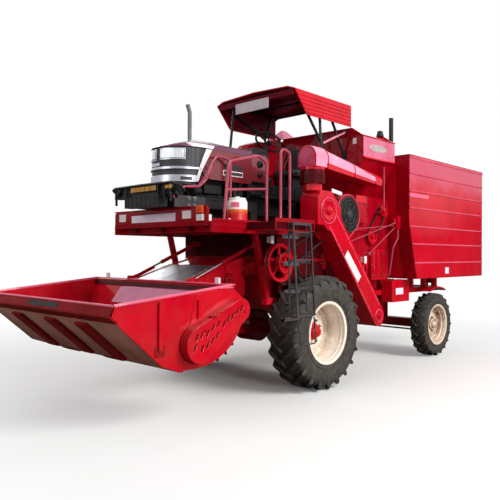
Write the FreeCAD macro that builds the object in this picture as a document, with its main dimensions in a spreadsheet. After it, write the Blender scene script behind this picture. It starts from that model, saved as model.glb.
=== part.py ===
"""Tractor-mounted combine harvester, as a parametric FreeCAD document.

Lengths are millimetres. Every sub-part is drawn in the vehicle's own stations: X forward from the
front axle, Y to the left of the mid-plane, Z up from the ground. Its Placement then moves it to the
part's frame, whose origin is on the ground below the middle of the overall box.
"""
import FreeCAD
import Part
import Sketcher
import math
import os

from FreeCAD import Placement, Rotation, Vector

DOC = FreeCAD.newDocument("tractor_mounted_combine")
SHEET = DOC.addObject("Spreadsheet::Sheet", "sizes")

# Driving dimensions: alias, value in mm.
DRIVING = [
    ("front_axle_x", 850),       # origin to front axle
    ("mid_plane_y", -95),        # the ladder stands out on the left, so the mid-plane sits right
    ("wheelbase", 3244),
    ("front_tyre_radius", 688),
    ("front_tyre_half", 215),
    ("front_wheel_y", 1070),
    ("front_bead", 356),
    ("front_dish", -90),
    ("rear_tyre_radius", 508),
    ("rear_tyre_half", 125),
    ("rear_wheel_y", 960),
    ("rear_bead", 305),
    ("rear_dish", -20),
    ("rim_flange", 25),
    ("kingpin_y", 700),
    ("steering_arm", 220),
    ("rail_y", 740),
    ("rail_width", 80),
    ("rail_bottom", 1030),
    ("rail_height", 80),
    ("body_half", 720),
    ("body_upper_half", 850),
    ("body_front", 460),
    ("deck_top", 1980),
    ("deck_plate", 50),
    ("deck_half", 900),
    ("deck_front", 1580),
    ("deck_rear", -1180),
    ("pivot_x", 620),
    ("pivot_z", 1450),
    ("feeder_half", 460),
    ("header_half", 1240),
    ("header_wall", 12),
    ("lip_x", 3040),
    ("lip_z", 1100),
    ("trough_bottom", 540),
    ("auger_x", 2120),
    ("auger_z", 800),
    ("auger_radius", 215),
    ("lift_base_x", 200),
    ("lift_base_z", 660),
    ("lift_eye_x", 1450),
    ("lift_eye_z", 740),
    ("lift_y", 360),
    ("stay_x", 530),
    ("stay_y", 560),
    ("stay_z", 1760),
    ("stay_eye_x", 1555),
    ("stay_eye_z", 1335),
    ("straw_front", -2070),
    ("straw_rear", -4700),
    ("straw_half", 1200),
    ("straw_floor", 1270),
    ("straw_top", 3100),
    ("straw_wall", 25),
    ("tank_front", -1200),
    ("tank_rear", -2050),
    ("tank_half", 970),
    ("tank_floor", 2460),
    ("tank_wall", 20),
    ("swivel_x", -40),
    ("swivel_y", 980),
    ("hood_rear", 400),
    ("hood_front", 1600),
    ("hood_half", 360),
    ("hood_wall", 12),
    ("canopy_front", 0),
    ("canopy_rear", -1270),
    ("canopy_half", 720),
    ("canopy_top", 3820),
    ("canopy_sheet", 14),
    ("ladder_x", 530),
    ("ladder_width", 300),
    ("ladder_y", 1460),
    ("tube_radius", 17),
    ("seam", 1),                 # gap between pieces that are bolted together
]


class Size:
    """A length that knows both its value and the spreadsheet expression that gives it."""

    def __init__(self, value, text):
        self.value = float(value)
        self.text = text

    @staticmethod
    def of(other):
        return other if isinstance(other, Size) else Size(other, f"{float(other):.6g}")

    def __add__(self, other):
        other = Size.of(other)
        return Size(self.value + other.value, f"({self.text} + {other.text})")

    def __sub__(self, other):
        other = Size.of(other)
        return Size(self.value - other.value, f"({self.text} - {other.text})")

    def __mul__(self, factor):
        return Size(self.value * factor, f"({self.text} * {float(factor):.9g})")

    def __neg__(self):
        return self * -1

    def __radd__(self, other):
        return Size.of(other) + self

    def __rsub__(self, other):
        return Size.of(other) - self

    def __rmul__(self, factor):
        return self * factor


class Cells:
    """The sheet's cells as attributes: C.wheelbase is the Size of the cell with that alias."""

    def __init__(self):
        for row, (alias, value) in enumerate(DRIVING, start=1):
            SHEET.set(f"A{row}", alias)
            SHEET.set(f"B{row}", str(value))
            SHEET.setAlias(f"B{row}", alias)
            setattr(self, alias, Size(value, f"sizes.{alias}"))


C = Cells()
DOC.recompute()

SUBPARTS = []


# ---------------------------------------------------------------- helpers
def bind(obj, **sizes):
    """Binds each property to its size, and sets numbers that no cell drives."""
    for name, size in sizes.items():
        size = Size.of(size)
        setattr(obj, name, size.value)
        obj.setExpression(name, size.text)


def move(obj, x=0, y=0, z=0, turn=None):
    """Places an object at a station, after turning it by a Rotation."""
    corner = [Size.of(v) for v in (x, y, z)]
    obj.Placement = Placement(Vector(*[v.value for v in corner]), turn or Rotation())
    for axis, size in zip("xyz", corner):
        obj.setExpression(f"Placement.Base.{axis}", size.text)
    return obj


def subpart(obj, label):
    """Registers a finished sub-part under the name of its node and moves it into the part's frame."""
    obj.Label = label
    SUBPARTS.append(obj)
    turn = obj.Placement.Rotation
    base = obj.Placement.Base
    return move(obj, C.front_axle_x + base.x, C.mid_plane_y + base.y, base.z, turn)


def box(x0, x1, y0, y1, z0, z1):
    x0, x1, y0, y1, z0, z1 = [Size.of(v) for v in (x0, x1, y0, y1, z0, z1)]
    solid = DOC.addObject("Part::Box", "plate")
    bind(solid, Length=x1 - x0, Width=y1 - y0, Height=z1 - z0)
    return move(solid, x0, y0, z0)


ALONG = {"x": Rotation(Vector(0, 1, 0), 90), "y": Rotation(Vector(1, 0, 0), -90), "z": Rotation()}


def rod(axis, radius, start, end, a, b):
    """Cylinder along an axis from start to end; a and b are its other two stations, in X, Y, Z order."""
    start, end = Size.of(start), Size.of(end)
    solid = DOC.addObject("Part::Cylinder", "rod")
    bind(solid, Radius=radius, Height=end - start)
    spot = {"x": (start, a, b), "y": (a, start, b), "z": (a, b, start)}[axis]
    return move(solid, *spot, turn=ALONG[axis])


def bar(p, q, width, depth):
    """Rectangular bar between two points of a fore-and-aft plane, p and q as (x, y, z)."""
    p, q = [Vector(*[Size.of(v).value for v in point]) for point in (p, q)]
    along = q - p
    solid = DOC.addObject("Part::Box", "bar")
    bind(solid, Length=along.Length, Width=width, Height=depth)
    turn = Rotation(Vector(1, 0, 0), along)
    offset = turn.multVec(Vector(0, -Size.of(width).value / 2, -Size.of(depth).value / 2))
    solid.Placement = Placement(p + offset, turn)
    return solid


def pin(p, q, radius):
    """Round bar between two points."""
    p, q = [Vector(*[Size.of(v).value for v in point]) for point in (p, q)]
    solid = DOC.addObject("Part::Cylinder", "pin")
    bind(solid, Radius=radius, Height=(q - p).Length)
    solid.Placement = Placement(p, Rotation(Vector(0, 0, 1), q - p))
    return solid


def fuse(*solids):
    whole = DOC.addObject("Part::MultiFuse", "joined")
    whole.Shapes = list(solids)
    whole.Refine = True
    return whole


def cut(base, tool):
    rest = DOC.addObject("Part::Cut", "cut")
    rest.Base = base
    rest.Tool = tool
    rest.Refine = True
    return rest


def common(first, second):
    shared = DOC.addObject("Part::Common", "shared")
    shared.Base = first
    shared.Tool = second
    return shared


def group(*solids):
    """Like pieces of one body that don't touch."""
    whole = DOC.addObject("Part::Compound", "pieces")
    whole.Links = list(solids)
    return whole


def mirrored(make):
    """Calls make(side) for the left (+1) and the right (-1)."""
    return [make(side) for side in (1, -1)]


def new_body():
    return DOC.addObject("PartDesign::Body", "body")


def sketch(body, role, points):
    """Closed outline on one of the body's origin planes, each corner bound to its sizes."""
    outline = body.newObject("Sketcher::SketchObject", "outline")
    plane = [part for part in body.Origin.OriginFeatures if part.Role == role][0]
    outline.AttachmentSupport = [(plane, "")]
    outline.MapMode = "FlatFace"
    corners = [(Size.of(a), Size.of(b)) for a, b in points]
    count = len(corners)
    spots = [Vector(a.value, b.value, 0) for a, b in corners]
    edges = [Part.LineSegment(spots[i], spots[(i + 1) % count]) for i in range(count)]
    outline.addGeometry(edges, False)
    for i in range(count):
        outline.addConstraint(Sketcher.Constraint("Coincident", i, 2, (i + 1) % count, 1))
    for i, (a, b) in enumerate(corners):
        for kind, size in (("DistanceX", a), ("DistanceY", b)):
            index = outline.addConstraint(Sketcher.Constraint(kind, -1, 1, i, 1, size.value))
            outline.setExpression(f"Constraints[{index}]", size.text)
    return outline


def extrude(body, outline, length, kind="PartDesign::Pad", second=None):
    """Pad or Pocket, even about the sketch plane unless a second length is given."""
    feature = body.newObject(kind, "extrusion")
    feature.Profile = outline
    feature.SideType = "Symmetric" if second is None else "Two sides"
    bind(feature, Length=length)
    if second is not None:
        bind(feature, Length2=second)
    return feature


def prism(role, points, length, second=None):
    body = new_body()
    extrude(body, sketch(body, role, points), length, second=second)
    return body


def revolve(points):
    """Solid of revolution about Y: each point is (radius, y)."""
    body = new_body()
    outline = sketch(body, "XY_Plane", points)
    feature = body.newObject("PartDesign::Revolution", "turned")
    feature.Profile = outline
    axis = [part for part in body.Origin.OriginFeatures if part.Role == "Y_Axis"][0]
    feature.ReferenceAxis = (axis, [""])
    feature.Angle = 360
    return body


def inset(points, wall):
    """The outline moved inwards by a wall thickness, its corners mitred."""
    flat = [Vector(Size.of(a).value, Size.of(b).value, 0) for a, b in points]
    count = len(flat)
    twice_area = sum(p.x * q.y - q.x * p.y for p, q in zip(flat, flat[1:] + flat[:1]))
    turn = 1 if twice_area > 0 else -1
    moved = []
    for i in range(count):
        before = (flat[i] - flat[i - 1]).normalize()
        after = (flat[(i + 1) % count] - flat[i]).normalize()
        one = Vector(-before.y, before.x, 0) * turn
        two = Vector(-after.y, after.x, 0) * turn
        miter = (one + two) * (1 / (1 + one.dot(two)))
        moved.append((Size.of(points[i][0]) + wall * miter.x, Size.of(points[i][1]) + wall * miter.y))
    return moved


def bent_tube(points, radius, bend):
    """Round tube along straight runs joined by tangent arcs."""
    spots = [Vector(*[Size.of(v).value for v in point]) for point in points]
    edges = []
    start = spots[0]
    for before, corner, after in zip(spots, spots[1:], spots[2:]):
        back = (before - corner).normalize()
        ahead = (after - corner).normalize()
        half = back.getAngle(ahead) / 2
        trim = bend / math.tan(half)
        first, last = corner + back * trim, corner + ahead * trim
        centre = corner + (back + ahead).normalize() * (bend / math.sin(half))
        middle = centre + (corner - centre).normalize() * bend
        edges.append(Part.LineSegment(start, first).toShape())
        edges.append(Part.Arc(first, middle, last).toShape())
        start = last
    edges.append(Part.LineSegment(start, spots[-1]).toShape())
    ring = Part.Wire(Part.Circle(spots[0], spots[1] - spots[0], radius).toShape())
    return Part.Wire(edges).makePipeShell([ring], True, False)


def tube_feature(shapes):
    """One Part::Feature of tubes that are welded where they cross."""
    feature = DOC.addObject("Part::Feature", "tubes")
    feature.Shape = shapes[0].fuse(shapes[1:]).removeSplitter() if len(shapes) > 1 else shapes[0]
    return feature


# ---------------------------------------------------------------- wheels
def tyre_profile(radius, half, bead):
    shoulder = radius - 35
    middle = (radius + bead) * 0.5
    return [
        (bead, half * -0.86), (bead + 28, half * -0.86), (bead + 70, half * -0.96), (middle, -half),
        (shoulder, half * -0.95), (radius, half * -0.72), (radius, half * 0.72), (shoulder, half * 0.95),
        (middle, half), (bead + 70, half * 0.96), (bead + 28, half * 0.86), (bead, half * 0.86),
    ]


def rim_profile(half, bead, dish):
    """Barrel with two flanges, a dished disc and a hub that ends in a cap."""
    edge = half * 0.87
    lip = edge + 13
    well = bead - 14
    hub, cap, disc = 95, 62, 14
    bottom = bead - 0.5
    return [
        (0, -half), (hub, -half), (hub, dish - disc), (well, dish - disc), (well, -lip),
        (bottom + C.rim_flange, -lip), (bottom + C.rim_flange, -edge), (bottom, -edge), (bottom, edge),
        (bottom + C.rim_flange, edge), (bottom + C.rim_flange, lip), (well, lip), (well, dish),
        (hub, dish), (hub, dish + 30), (cap, dish + 38), (cap, dish + 85), (0, dish + 95),
    ]


def make_wheels():
    kinds = (
        ("front", 0, C.front_wheel_y, C.front_tyre_radius, C.front_tyre_half, C.front_bead, C.front_dish),
        ("rear", -C.wheelbase, C.rear_wheel_y, C.rear_tyre_radius, C.rear_tyre_half, C.rear_bead,
         C.rear_dish),
    )
    for end, x, y, radius, half, bead, dish in kinds:
        for side, offset, turn in (("left", y, 0), ("right", -y, 180)):
            profiles = (("tyre", tyre_profile(radius, half, bead)), ("rim", rim_profile(half, bead, dish)))
            for name, profile in profiles:
                wheel = revolve(profile)
                wheel.Placement.Rotation = Rotation(Vector(0, 0, 1), turn)
                subpart(wheel, f"{end}_{side}_{name}")
                move(wheel, C.front_axle_x + x, C.mid_plane_y + offset, radius, wheel.Placement.Rotation)


# ---------------------------------------------------------------- frame and axles
def make_frame():
    rail_top = C.rail_bottom + C.rail_height
    outer = C.rail_y + C.rail_width
    rails = mirrored(lambda s: box(-3760, 620, *sorted_pair(C.rail_y * s, outer * s),
                                   C.rail_bottom, rail_top))
    # Each member is a solid of its own, one seam away from the one it is bolted to.
    seam = C.seam
    crosses = [box(x, x + width, -C.rail_y + seam, C.rail_y - seam, C.rail_bottom, rail_top)
               for x, width in ((-3760, 90), (-3344, 200), (-2560, 90))]
    hangers = [box(-C.wheelbase + x, -C.wheelbase + x + 20, -110, 110, 440, C.rail_bottom - seam)
               for x in (-91, 71)]
    hitch = box(-3900, -3760 - seam, -60, 60, C.rail_bottom + 8, C.rail_bottom + 32)
    pin_hole = rod("z", 16, C.rail_bottom - 10, C.rail_bottom + 50, -3840, 0)
    # Short stays carry the straw hood above the rails.
    stays = []
    for x in (-2920, -3360, -3740):
        stays += mirrored(lambda s: box(x, x + 60, *sorted_pair(C.rail_y * s, outer * s), rail_top + seam,
                                        C.straw_floor - seam))
    subpart(group(*rails, *crosses, *hangers, *stays, cut(hitch, pin_hole)), "main_frame")


def sorted_pair(a, b):
    return (a, b) if Size.of(a).value < Size.of(b).value else (b, a)


def make_front_axle():
    z = C.front_tyre_radius
    end = C.front_wheel_y - C.front_tyre_half - 6
    beam = rod("y", 95, -760, 760, 0, z)
    drums = mirrored(lambda s: rod("y", 150, *sorted_pair(end * s, (end - 110) * s), 0, z))
    casing = fuse(rod("y", 210, -150, 150, 0, z), box(-160, 160, -90, 90, z - 90, z + 90))
    pads = mirrored(lambda s: box(-100, 100, *sorted_pair((C.rail_y + 5) * s, (C.rail_y + 60) * s),
                                  z, C.rail_bottom - 1))
    ears = []
    for side in (1, -1):
        for gap in (-34, 22):
            middle = C.lift_y * side + gap
            ears.append(box(60, C.lift_base_x + 36, middle, middle + 12,
                            C.lift_base_z - 40, C.lift_base_z + 40))
        ears.append(rod("y", 15, C.lift_y * side - 34, C.lift_y * side + 34, C.lift_base_x, C.lift_base_z))
    subpart(fuse(beam, *drums, casing, *pads, *ears), "front_axle")


def make_rear_axle():
    z = C.rear_tyre_radius
    x = -C.wheelbase
    beam = box(x - 70, x + 70, -620, 620, z - 70, z + 70)
    bosses = mirrored(lambda s: rod("z", 55, z - 80, z + 80, x, C.kingpin_y * s))
    arms = mirrored(lambda s: box(x - 45, x + 45, *sorted_pair(600 * s, C.kingpin_y * s), z - 60, z + 60))
    bores = mirrored(lambda s: rod("z", 25.3, z - 100, z + 100, x, C.kingpin_y * s))
    subpart(cut(fuse(beam, *arms, *bosses), fuse(*bores)), "rear_axle")


def make_knuckles():
    z = C.rear_tyre_radius
    x = -C.wheelbase
    end = C.rear_wheel_y - C.rear_tyre_half - 6
    arm_z = z - 128
    for name, s in (("left", 1), ("right", -1)):
        pivot = rod("z", 25, z - 115, z + 115, x, C.kingpin_y * s)
        reach = sorted_pair((C.kingpin_y - 50) * s, (C.kingpin_y + 95) * s)
        ears = [box(x - 45, x + 45, *reach, low, low + 28) for low in (z + 87, z - 115)]
        plate = sorted_pair((C.kingpin_y + 65) * s, (C.kingpin_y + 95) * s)
        web = box(x - 45, x + 45, *plate, z - 115, z + 115)
        stub = rod("y", 60, *sorted_pair((C.kingpin_y + 90) * s, end * s), x, z)
        arm = box(x - C.steering_arm - 30, x, *sorted_pair((C.kingpin_y - 28) * s, (C.kingpin_y + 28) * s),
                  arm_z, arm_z + 14)
        ball = rod("z", 12, arm_z - 26, arm_z, x - C.steering_arm, C.kingpin_y * s)
        subpart(fuse(pivot, *ears, web, stub, arm, ball), f"steering_knuckle_{name}")
    rod_x = x - C.steering_arm
    track = rod("y", 14, -C.kingpin_y, C.kingpin_y, rod_x, arm_z - 17)
    eyes = mirrored(lambda s: rod("z", 24, arm_z - 30, arm_z - 4, rod_x, C.kingpin_y * s))
    bores = mirrored(lambda s: rod("z", 12.6, arm_z - 60, arm_z, rod_x, C.kingpin_y * s))
    subpart(cut(fuse(track, *eyes), fuse(*bores)), "tie_rod")


# ---------------------------------------------------------------- threshing body
def make_housing():
    deck_under = C.deck_top - C.deck_plate - 1
    under_tank = C.tank_floor - 1
    lower = prism("XZ_Plane", [
        (C.body_front, 1125), (400, 960), (-330, 960), (-560, 780), (-1080, 760), (-1200, 640),
        (-1380, 640), (-1520, 850), (-1780, 850), (-1850, 760), (-1990, 760), (-2120, 1000),
        (-2480, 1150), (-2480, 1255), (-2300, 1255), (C.straw_front, 1500), (C.body_front, 1500),
    ], C.body_half * 2)
    upper = prism("XZ_Plane", [
        (C.body_front, 1440), (C.straw_front + 130, 1440), (C.straw_front + 130, 1270),
        (C.straw_front + 1, 1270), (C.straw_front + 1, under_tank), (C.deck_rear - 8, under_tank),
        (C.deck_rear - 8, deck_under), (C.body_front, deck_under),
    ], C.body_upper_half * 2)
    # Shoulders beside the driver's place: the fan draws through the left one.
    shoulders = mirrored(lambda s: box(C.deck_rear - 9, -560, *sorted_pair(600 * s, C.body_upper_half * s),
                                       deck_under - 10, under_tank))
    # Covers that stand out on the left: beside the sieves and behind the fan.
    proud = C.body_upper_half + 50
    covers = [box(x0, x1, C.body_upper_half - 5, proud, z0, z1)
              for x0, x1, z0, z1 in ((-1900, -1530, 1270, 1700), (-1390, -1130, 2070, under_tank))]
    subpart(fuse(lower, upper, *shoulders, *covers), "thresher_housing")


def make_straw_hood():
    outline = [
        (C.straw_front, C.straw_top), (C.straw_front, 2130), (C.straw_front - 230, C.straw_floor),
        (C.straw_rear, C.straw_floor), (C.straw_rear, C.straw_top),
    ]
    inner = inset(outline, C.straw_wall)
    below, behind = C.straw_floor - 60, C.straw_rear - 60
    hollow = inner[:3] + [
        (-3760, C.straw_floor + C.straw_wall), (-3760, below), (behind, below), (behind, 1900),
        (inner[4][0], 1900), inner[4],
    ]
    body = new_body()
    extrude(body, sketch(body, "XZ_Plane", outline), C.straw_half * 2)
    solid_volume = volume_of(body)
    room = C.straw_half * 2 - C.straw_wall * 2
    extrude(body, sketch(body, "XZ_Plane", hollow), room, kind="PartDesign::Pocket")
    assert volume_of(body) < solid_volume * 0.2, "the hood is not hollow"
    subpart(body, "straw_hood")
    # Five walkers with stepped tops throw the straw out at the rear.
    teeth = 8
    pitch = 270
    step = 55
    rise = 18
    front = -2230
    top = []
    for tooth in range(teeth):
        x = front - pitch * tooth
        z = 2050 + rise * tooth
        top += [(x, z), (x - pitch + 20, z + step)]
    outline = top + [(front - pitch * teeth + 20, 1880 + rise * teeth), (front, 1880)]
    width, gap = 420, 22
    walkers = []
    for place in range(-2, 3):
        walker = prism("XZ_Plane", outline, width)
        walkers.append(move(walker, 0, (width + gap) * place, 0))
    shafts = [rod("y", 25, -C.straw_half + C.straw_wall, C.straw_half - C.straw_wall, x, z)
              for x, z in ((-2600, 1905), (-4150, 2008))]
    subpart(fuse(*walkers, *shafts), "straw_walkers")


def volume_of(body):
    DOC.recompute()
    return body.Shape.Volume


def make_grain_tank():
    shoulder, brim, peak = 2990, 3290, 3420
    crown = C.tank_half - 190
    outline = [
        (-700, C.tank_floor), (700, C.tank_floor), (C.tank_half, shoulder), (C.tank_half, brim),
        (crown, peak), (-crown, peak), (-C.tank_half, brim), (-C.tank_half, shoulder),
    ]
    inner = inset(outline, C.tank_wall)
    above = peak + 60
    hollow = inner[:3] + [(inner[2][0], above), (inner[7][0], above), inner[7]]
    length = C.tank_front - C.tank_rear
    body = new_body()
    extrude(body, sketch(body, "YZ_Plane", outline), length * 0.5, second=length * 0.5)
    solid_volume = volume_of(body)
    extrude(body, sketch(body, "YZ_Plane", hollow), length * 0.5 - C.tank_wall,
            kind="PartDesign::Pocket", second=length * 0.5 - C.tank_wall)
    assert volume_of(body) < solid_volume * 0.4, "the tank is not hollow"
    move(body, (C.tank_front + C.tank_rear) * 0.5, 0, 0)
    subpart(group(body, tank_cover(brim + 2)), "grain_tank")


def tank_cover(low):
    """Peaked cover on the tank's right rim, over the place where the clean grain comes in."""
    ridge, peak = low + 180, 3650
    rear, front, right, left = -1800, -1360, -980, -640
    ring = [Vector(rear, right, ridge), Vector(front, right, ridge), Vector(front, left, ridge),
            Vector(rear, left, ridge)]
    middle = Vector((rear + front) / 2, (right + left) / 2, peak)
    tip = [middle + Vector(x, y, 0) for x, y in ((-40, -20), (40, -20), (40, 20), (-40, 20))]
    roof = DOC.addObject("Part::Feature", "roof")
    roof.Shape = Part.makeLoft([Part.makePolygon(loop + loop[:1]) for loop in (ring, tip)], True, True)
    return fuse(box(rear, front, right, left, low, ridge), roof)


def make_elevator():
    """Clean grain elevator: boot low at the rear, leg, and a head casing below the swivel."""
    low_y, high_y = 875, 1145
    middle = (low_y + high_y) / 2
    boot, head = (-1330, 790), (-230, 2110)
    leg = bar((boot[0], middle, boot[1]), (head[0], middle, head[1]), high_y - low_y, 275)
    ends = [rod("y", 140, low_y, high_y, *boot), rod("y", 195, low_y, high_y, *head)]
    casing = prism("XZ_Plane", [
        (60, 1995), (60, 2330), (0, 2415), (-220, 2415), (-420, 2230), (-420, 2040), (-360, 1995),
    ], -low_y, second=high_y)
    cross = rod("y", 95, C.body_half + 1, low_y + 5, *boot)
    bracket = box(-560, -420, C.body_upper_half + 1, low_y + 5, 1700, 1850)
    # The riser stands on the head and carries the swinging spout.
    riser = fuse(rod("z", 122, 2416, 2640, C.swivel_x, C.swivel_y),
                 rod("z", 150, 2640, 2668, C.swivel_x, C.swivel_y))
    subpart(group(fuse(leg, *ends, casing, cross, bracket), riser), "grain_elevator")


def make_unloader():
    """Swinging spout: a collar, an arched elbow and a trough that narrows to a slanted mouth."""
    collar = rod("z", 150, 2674, 2702, C.swivel_x, C.swivel_y)
    elbow_box = box(C.swivel_x - 115, C.swivel_x + 115, C.swivel_y - 140, C.swivel_y + 140, 2702, 2830)
    elbow_top = rod("x", 140, C.swivel_x - 115, C.swivel_x + 115, C.swivel_y, 2830)
    trough = DOC.addObject("Part::Feature", "spout")
    near, far = C.swivel_x.value - 100, C.swivel_x.value - 1540
    y = C.swivel_y.value
    sections = [arch(near, y, 2702, 130, 2832), arch(far, y, 2600, 82, 2664)]
    trough.Shape = Part.makeLoft(sections, True, True)
    mouth = prism("XZ_Plane", [(far + 60, 2560), (far - 60, 2560), (far - 60, 2790), (far, 2790)], 2400)
    subpart(fuse(collar, elbow_box, elbow_top, cut(trough, mouth)), "unloading_spout")


def arch(x, y, floor, half, spring):
    """Closed wire across X: flat floor, upright sides up to the spring line, half-round top."""
    left, right = Vector(x, y + half, floor), Vector(x, y - half, floor)
    up_left, up_right = Vector(x, y + half, spring), Vector(x, y - half, spring)
    crown = Vector(x, y, spring + half)
    edges = [Part.makeLine(right, left), Part.makeLine(left, up_left),
             Part.Arc(up_left, crown, up_right).toShape(), Part.makeLine(up_right, right)]
    return Part.Wire(edges)


def make_drives():
    """Left-hand pulleys on the wall of the body, and the round screen over the fan."""
    def pulley(radius, width, bore):
        return revolve([
            (0, 0), (radius, 0), (radius, width), (radius - 22, width), (radius - 30, width * 0.45),
            (bore + 25, width * 0.45), (bore, width + 12), (0, width + 12),
        ])
    wall = C.body_upper_half + 1
    wheels = [(470, 1530, 236, 55), (-1870, 2290, 95, 50), (-1560, 1900, 120, 50)]
    subpart(group(*[move(pulley(radius, width, 24), x, wall, z) for x, z, radius, width in wheels]),
            "drive_pulleys")
    screen = revolve([(0, 0), (200, 0), (200, 105), (246, 105), (246, 150), (225, 165), (0, 170)])
    subpart(move(screen, -790, wall, 2160), "fan_screen")


def make_side_box():
    outer = C.rail_y + C.rail_width
    subpart(box(-2450, -1940, outer + 1, outer + 180, 930, 1255), "tool_box")
    guards = []
    x, z = -C.wheelbase.value, C.rear_tyre_radius.value
    for s in (1, -1):
        ring = cut(rod("y", 615, *sorted_pair((outer + 1) * s, 1090 * s), x, z),
                   rod("y", 600, *sorted_pair((outer - 9) * s, 1100 * s), x, z))
        window = prism("XZ_Plane", [(x, z + 100), (x - 380, z + 750), (x + 380, z + 750)], 2400)
        guards.append(common(ring, window))
    subpart(group(*guards, driver_fender()), "mudguards")


def driver_fender():
    """The tractor's own right-hand fender: a sheet arch with an inner cheek, on a tab above the trumpet."""
    outline = [(-1090, 2480), (-1090, 3040), (-1010, 3180), (-860, 3250), (-420, 3250), (-250, 3190),
               (-120, 3060), (-40, 2880), (-40, 2480)]
    sheet = 5
    inner = inset(outline, sheet)
    below = 2400
    hollow = [(inner[0][0], below)] + inner[1:8] + [(inner[8][0], below)]
    arch_sheet = cut(prism("XZ_Plane", outline, 230), prism("XZ_Plane", hollow, 240))
    cheek = prism("XZ_Plane", outline, sheet)
    tab = box(-810, -750, -290, -274, 2421, 2520)
    return fuse(move(arch_sheet, 0, -395, 0), move(cheek, 0, -282, 0), tab)


# ---------------------------------------------------------------- operator's deck
def make_deck():
    under = C.deck_top - C.deck_plate
    plate = box(C.deck_rear, C.deck_front - 1, -C.deck_half, C.deck_half, under, C.deck_top)
    low, high = under - 90, C.deck_top + 10
    corners = mirrored(lambda s: box(C.deck_rear - 10, -550, *sorted_pair(590 * s, 1000 * s), low, high))
    notch = box(-560, 120, C.body_upper_half + 12, 1000, low, high)
    landing = box(C.ladder_x - 50, C.ladder_x + C.ladder_width + 50, C.deck_half - 5, C.ladder_y - 142,
                  under, C.deck_top)
    edge = C.deck_half - 40
    edges = mirrored(lambda s: box(-540, C.deck_front - 1, *sorted_pair(edge * s, C.deck_half * s),
                                   under - 70, under))
    ribs = [box(x, x + 60, -C.deck_half + 30, C.deck_half - 30, under - 60, under) for x in (1440, 1060, 760)]
    # Struts lean forward from the rail ends to the deck's rear rib; feet and heads are cut level.
    foot, head = C.rail_bottom + C.rail_height + C.seam, under - 60 - C.seam
    profile = [(545, foot), (620, foot), (820, head), (760, head)]
    struts = mirrored(lambda s: move(prism("XZ_Plane", profile, 60), 0, (C.rail_y + 40) * s, 0))
    deck = cut(fuse(plate, landing, *edges, *ribs), fuse(*corners, notch))
    subpart(group(deck, *struts), "operator_deck")


def make_bumper():
    half = 860
    body = prism("YZ_Plane", [
        (-half, 1965), (-half + 25, 1940), (half - 25, 1940), (half, 1965), (half, 2115), (half - 25, 2140),
        (-half + 25, 2140), (-half, 2115),
    ], 11, second=11)
    move(body, C.deck_front + 11, 0, 0)
    subpart(body, "front_bumper")


def make_feeder_mount():
    inner, outer = C.feeder_half + 46, C.feeder_half + 72
    plates = mirrored(lambda s: box(C.body_front + C.seam, C.pivot_x + 60, *sorted_pair(inner * s, outer * s),
                                    C.pivot_z - 80, C.pivot_z + 80))
    shaft = rod("y", 30, -outer, outer, C.pivot_x, C.pivot_z)
    # Forked ears above carry the balance stays.
    forks = []
    for s in (1, -1):
        cheeks = [box(C.body_front + C.seam, C.stay_x + 26, C.stay_y * s + gap, C.stay_y * s + gap + 12,
                      C.stay_z - 35, C.stay_z + 35) for gap in (-31, 19)]
        forks.append(fuse(*cheeks, rod("y", 10, C.stay_y * s - 31, C.stay_y * s + 31, C.stay_x, C.stay_z)))
    subpart(group(fuse(*plates, shaft), *forks), "feeder_mount")


def make_railing():
    y = C.deck_half - 35
    radius = C.tube_radius.value
    base = C.deck_top
    outline = [(1370, y, base + 2), (1300, y, 2640), (820, y, 2760), (680, y, 2700), (680, y, base + 2)]
    hoop = bent_tube(outline, radius, 90)
    middle = bent_tube([(1333, y, 2330), (680, y, 2390)], radius * 0.8, 10)
    handrail = bent_tube([(430, y, base), (430, y, 2915), (260, y, 2860), (260, y, base)], radius, 60)
    subpart(group(tube_feature([hoop, middle]), tube_feature([handrail])), "deck_railing")


def make_ladder():
    """Side ladder: an outer and an inner frame of bar, treads between them and a loop below."""
    x0, x1 = C.ladder_x, C.ladder_x + C.ladder_width
    top, bottom = C.deck_top, 950
    inside, gap = 9, 1
    pieces = []
    for x in (x0, x1):
        pieces.append(bar((x, C.ladder_y - 70, top), (x, C.ladder_y, bottom), 16, 22))
        pieces.append(bar((x, C.ladder_y - 135, top), (x, C.ladder_y - 115, bottom + 40), 12, 12))
    for step in range(4):
        z = 1880 - 306 * step
        y = C.ladder_y - 63 + 21 * step
        pieces.append(box(x0 + inside, x1 - inside, C.ladder_y - 140 + 6 * step, y, z - 16, z))
    pieces.append(box(x0 + inside, x1 - inside, C.ladder_y - 141 + gap, C.ladder_y - 60, top - 30, top))
    loop = bent_tube([(x0 + 10, C.ladder_y - 4, bottom - 14), (x0 - 40, C.ladder_y - 2, 640),
                      (x1 - 70, C.ladder_y - 2, 640), (x1 - 10, C.ladder_y - 4, bottom - 14)], 8, 45)
    pieces.append(tube_feature([loop]))
    subpart(group(*pieces), "boarding_ladder")


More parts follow.
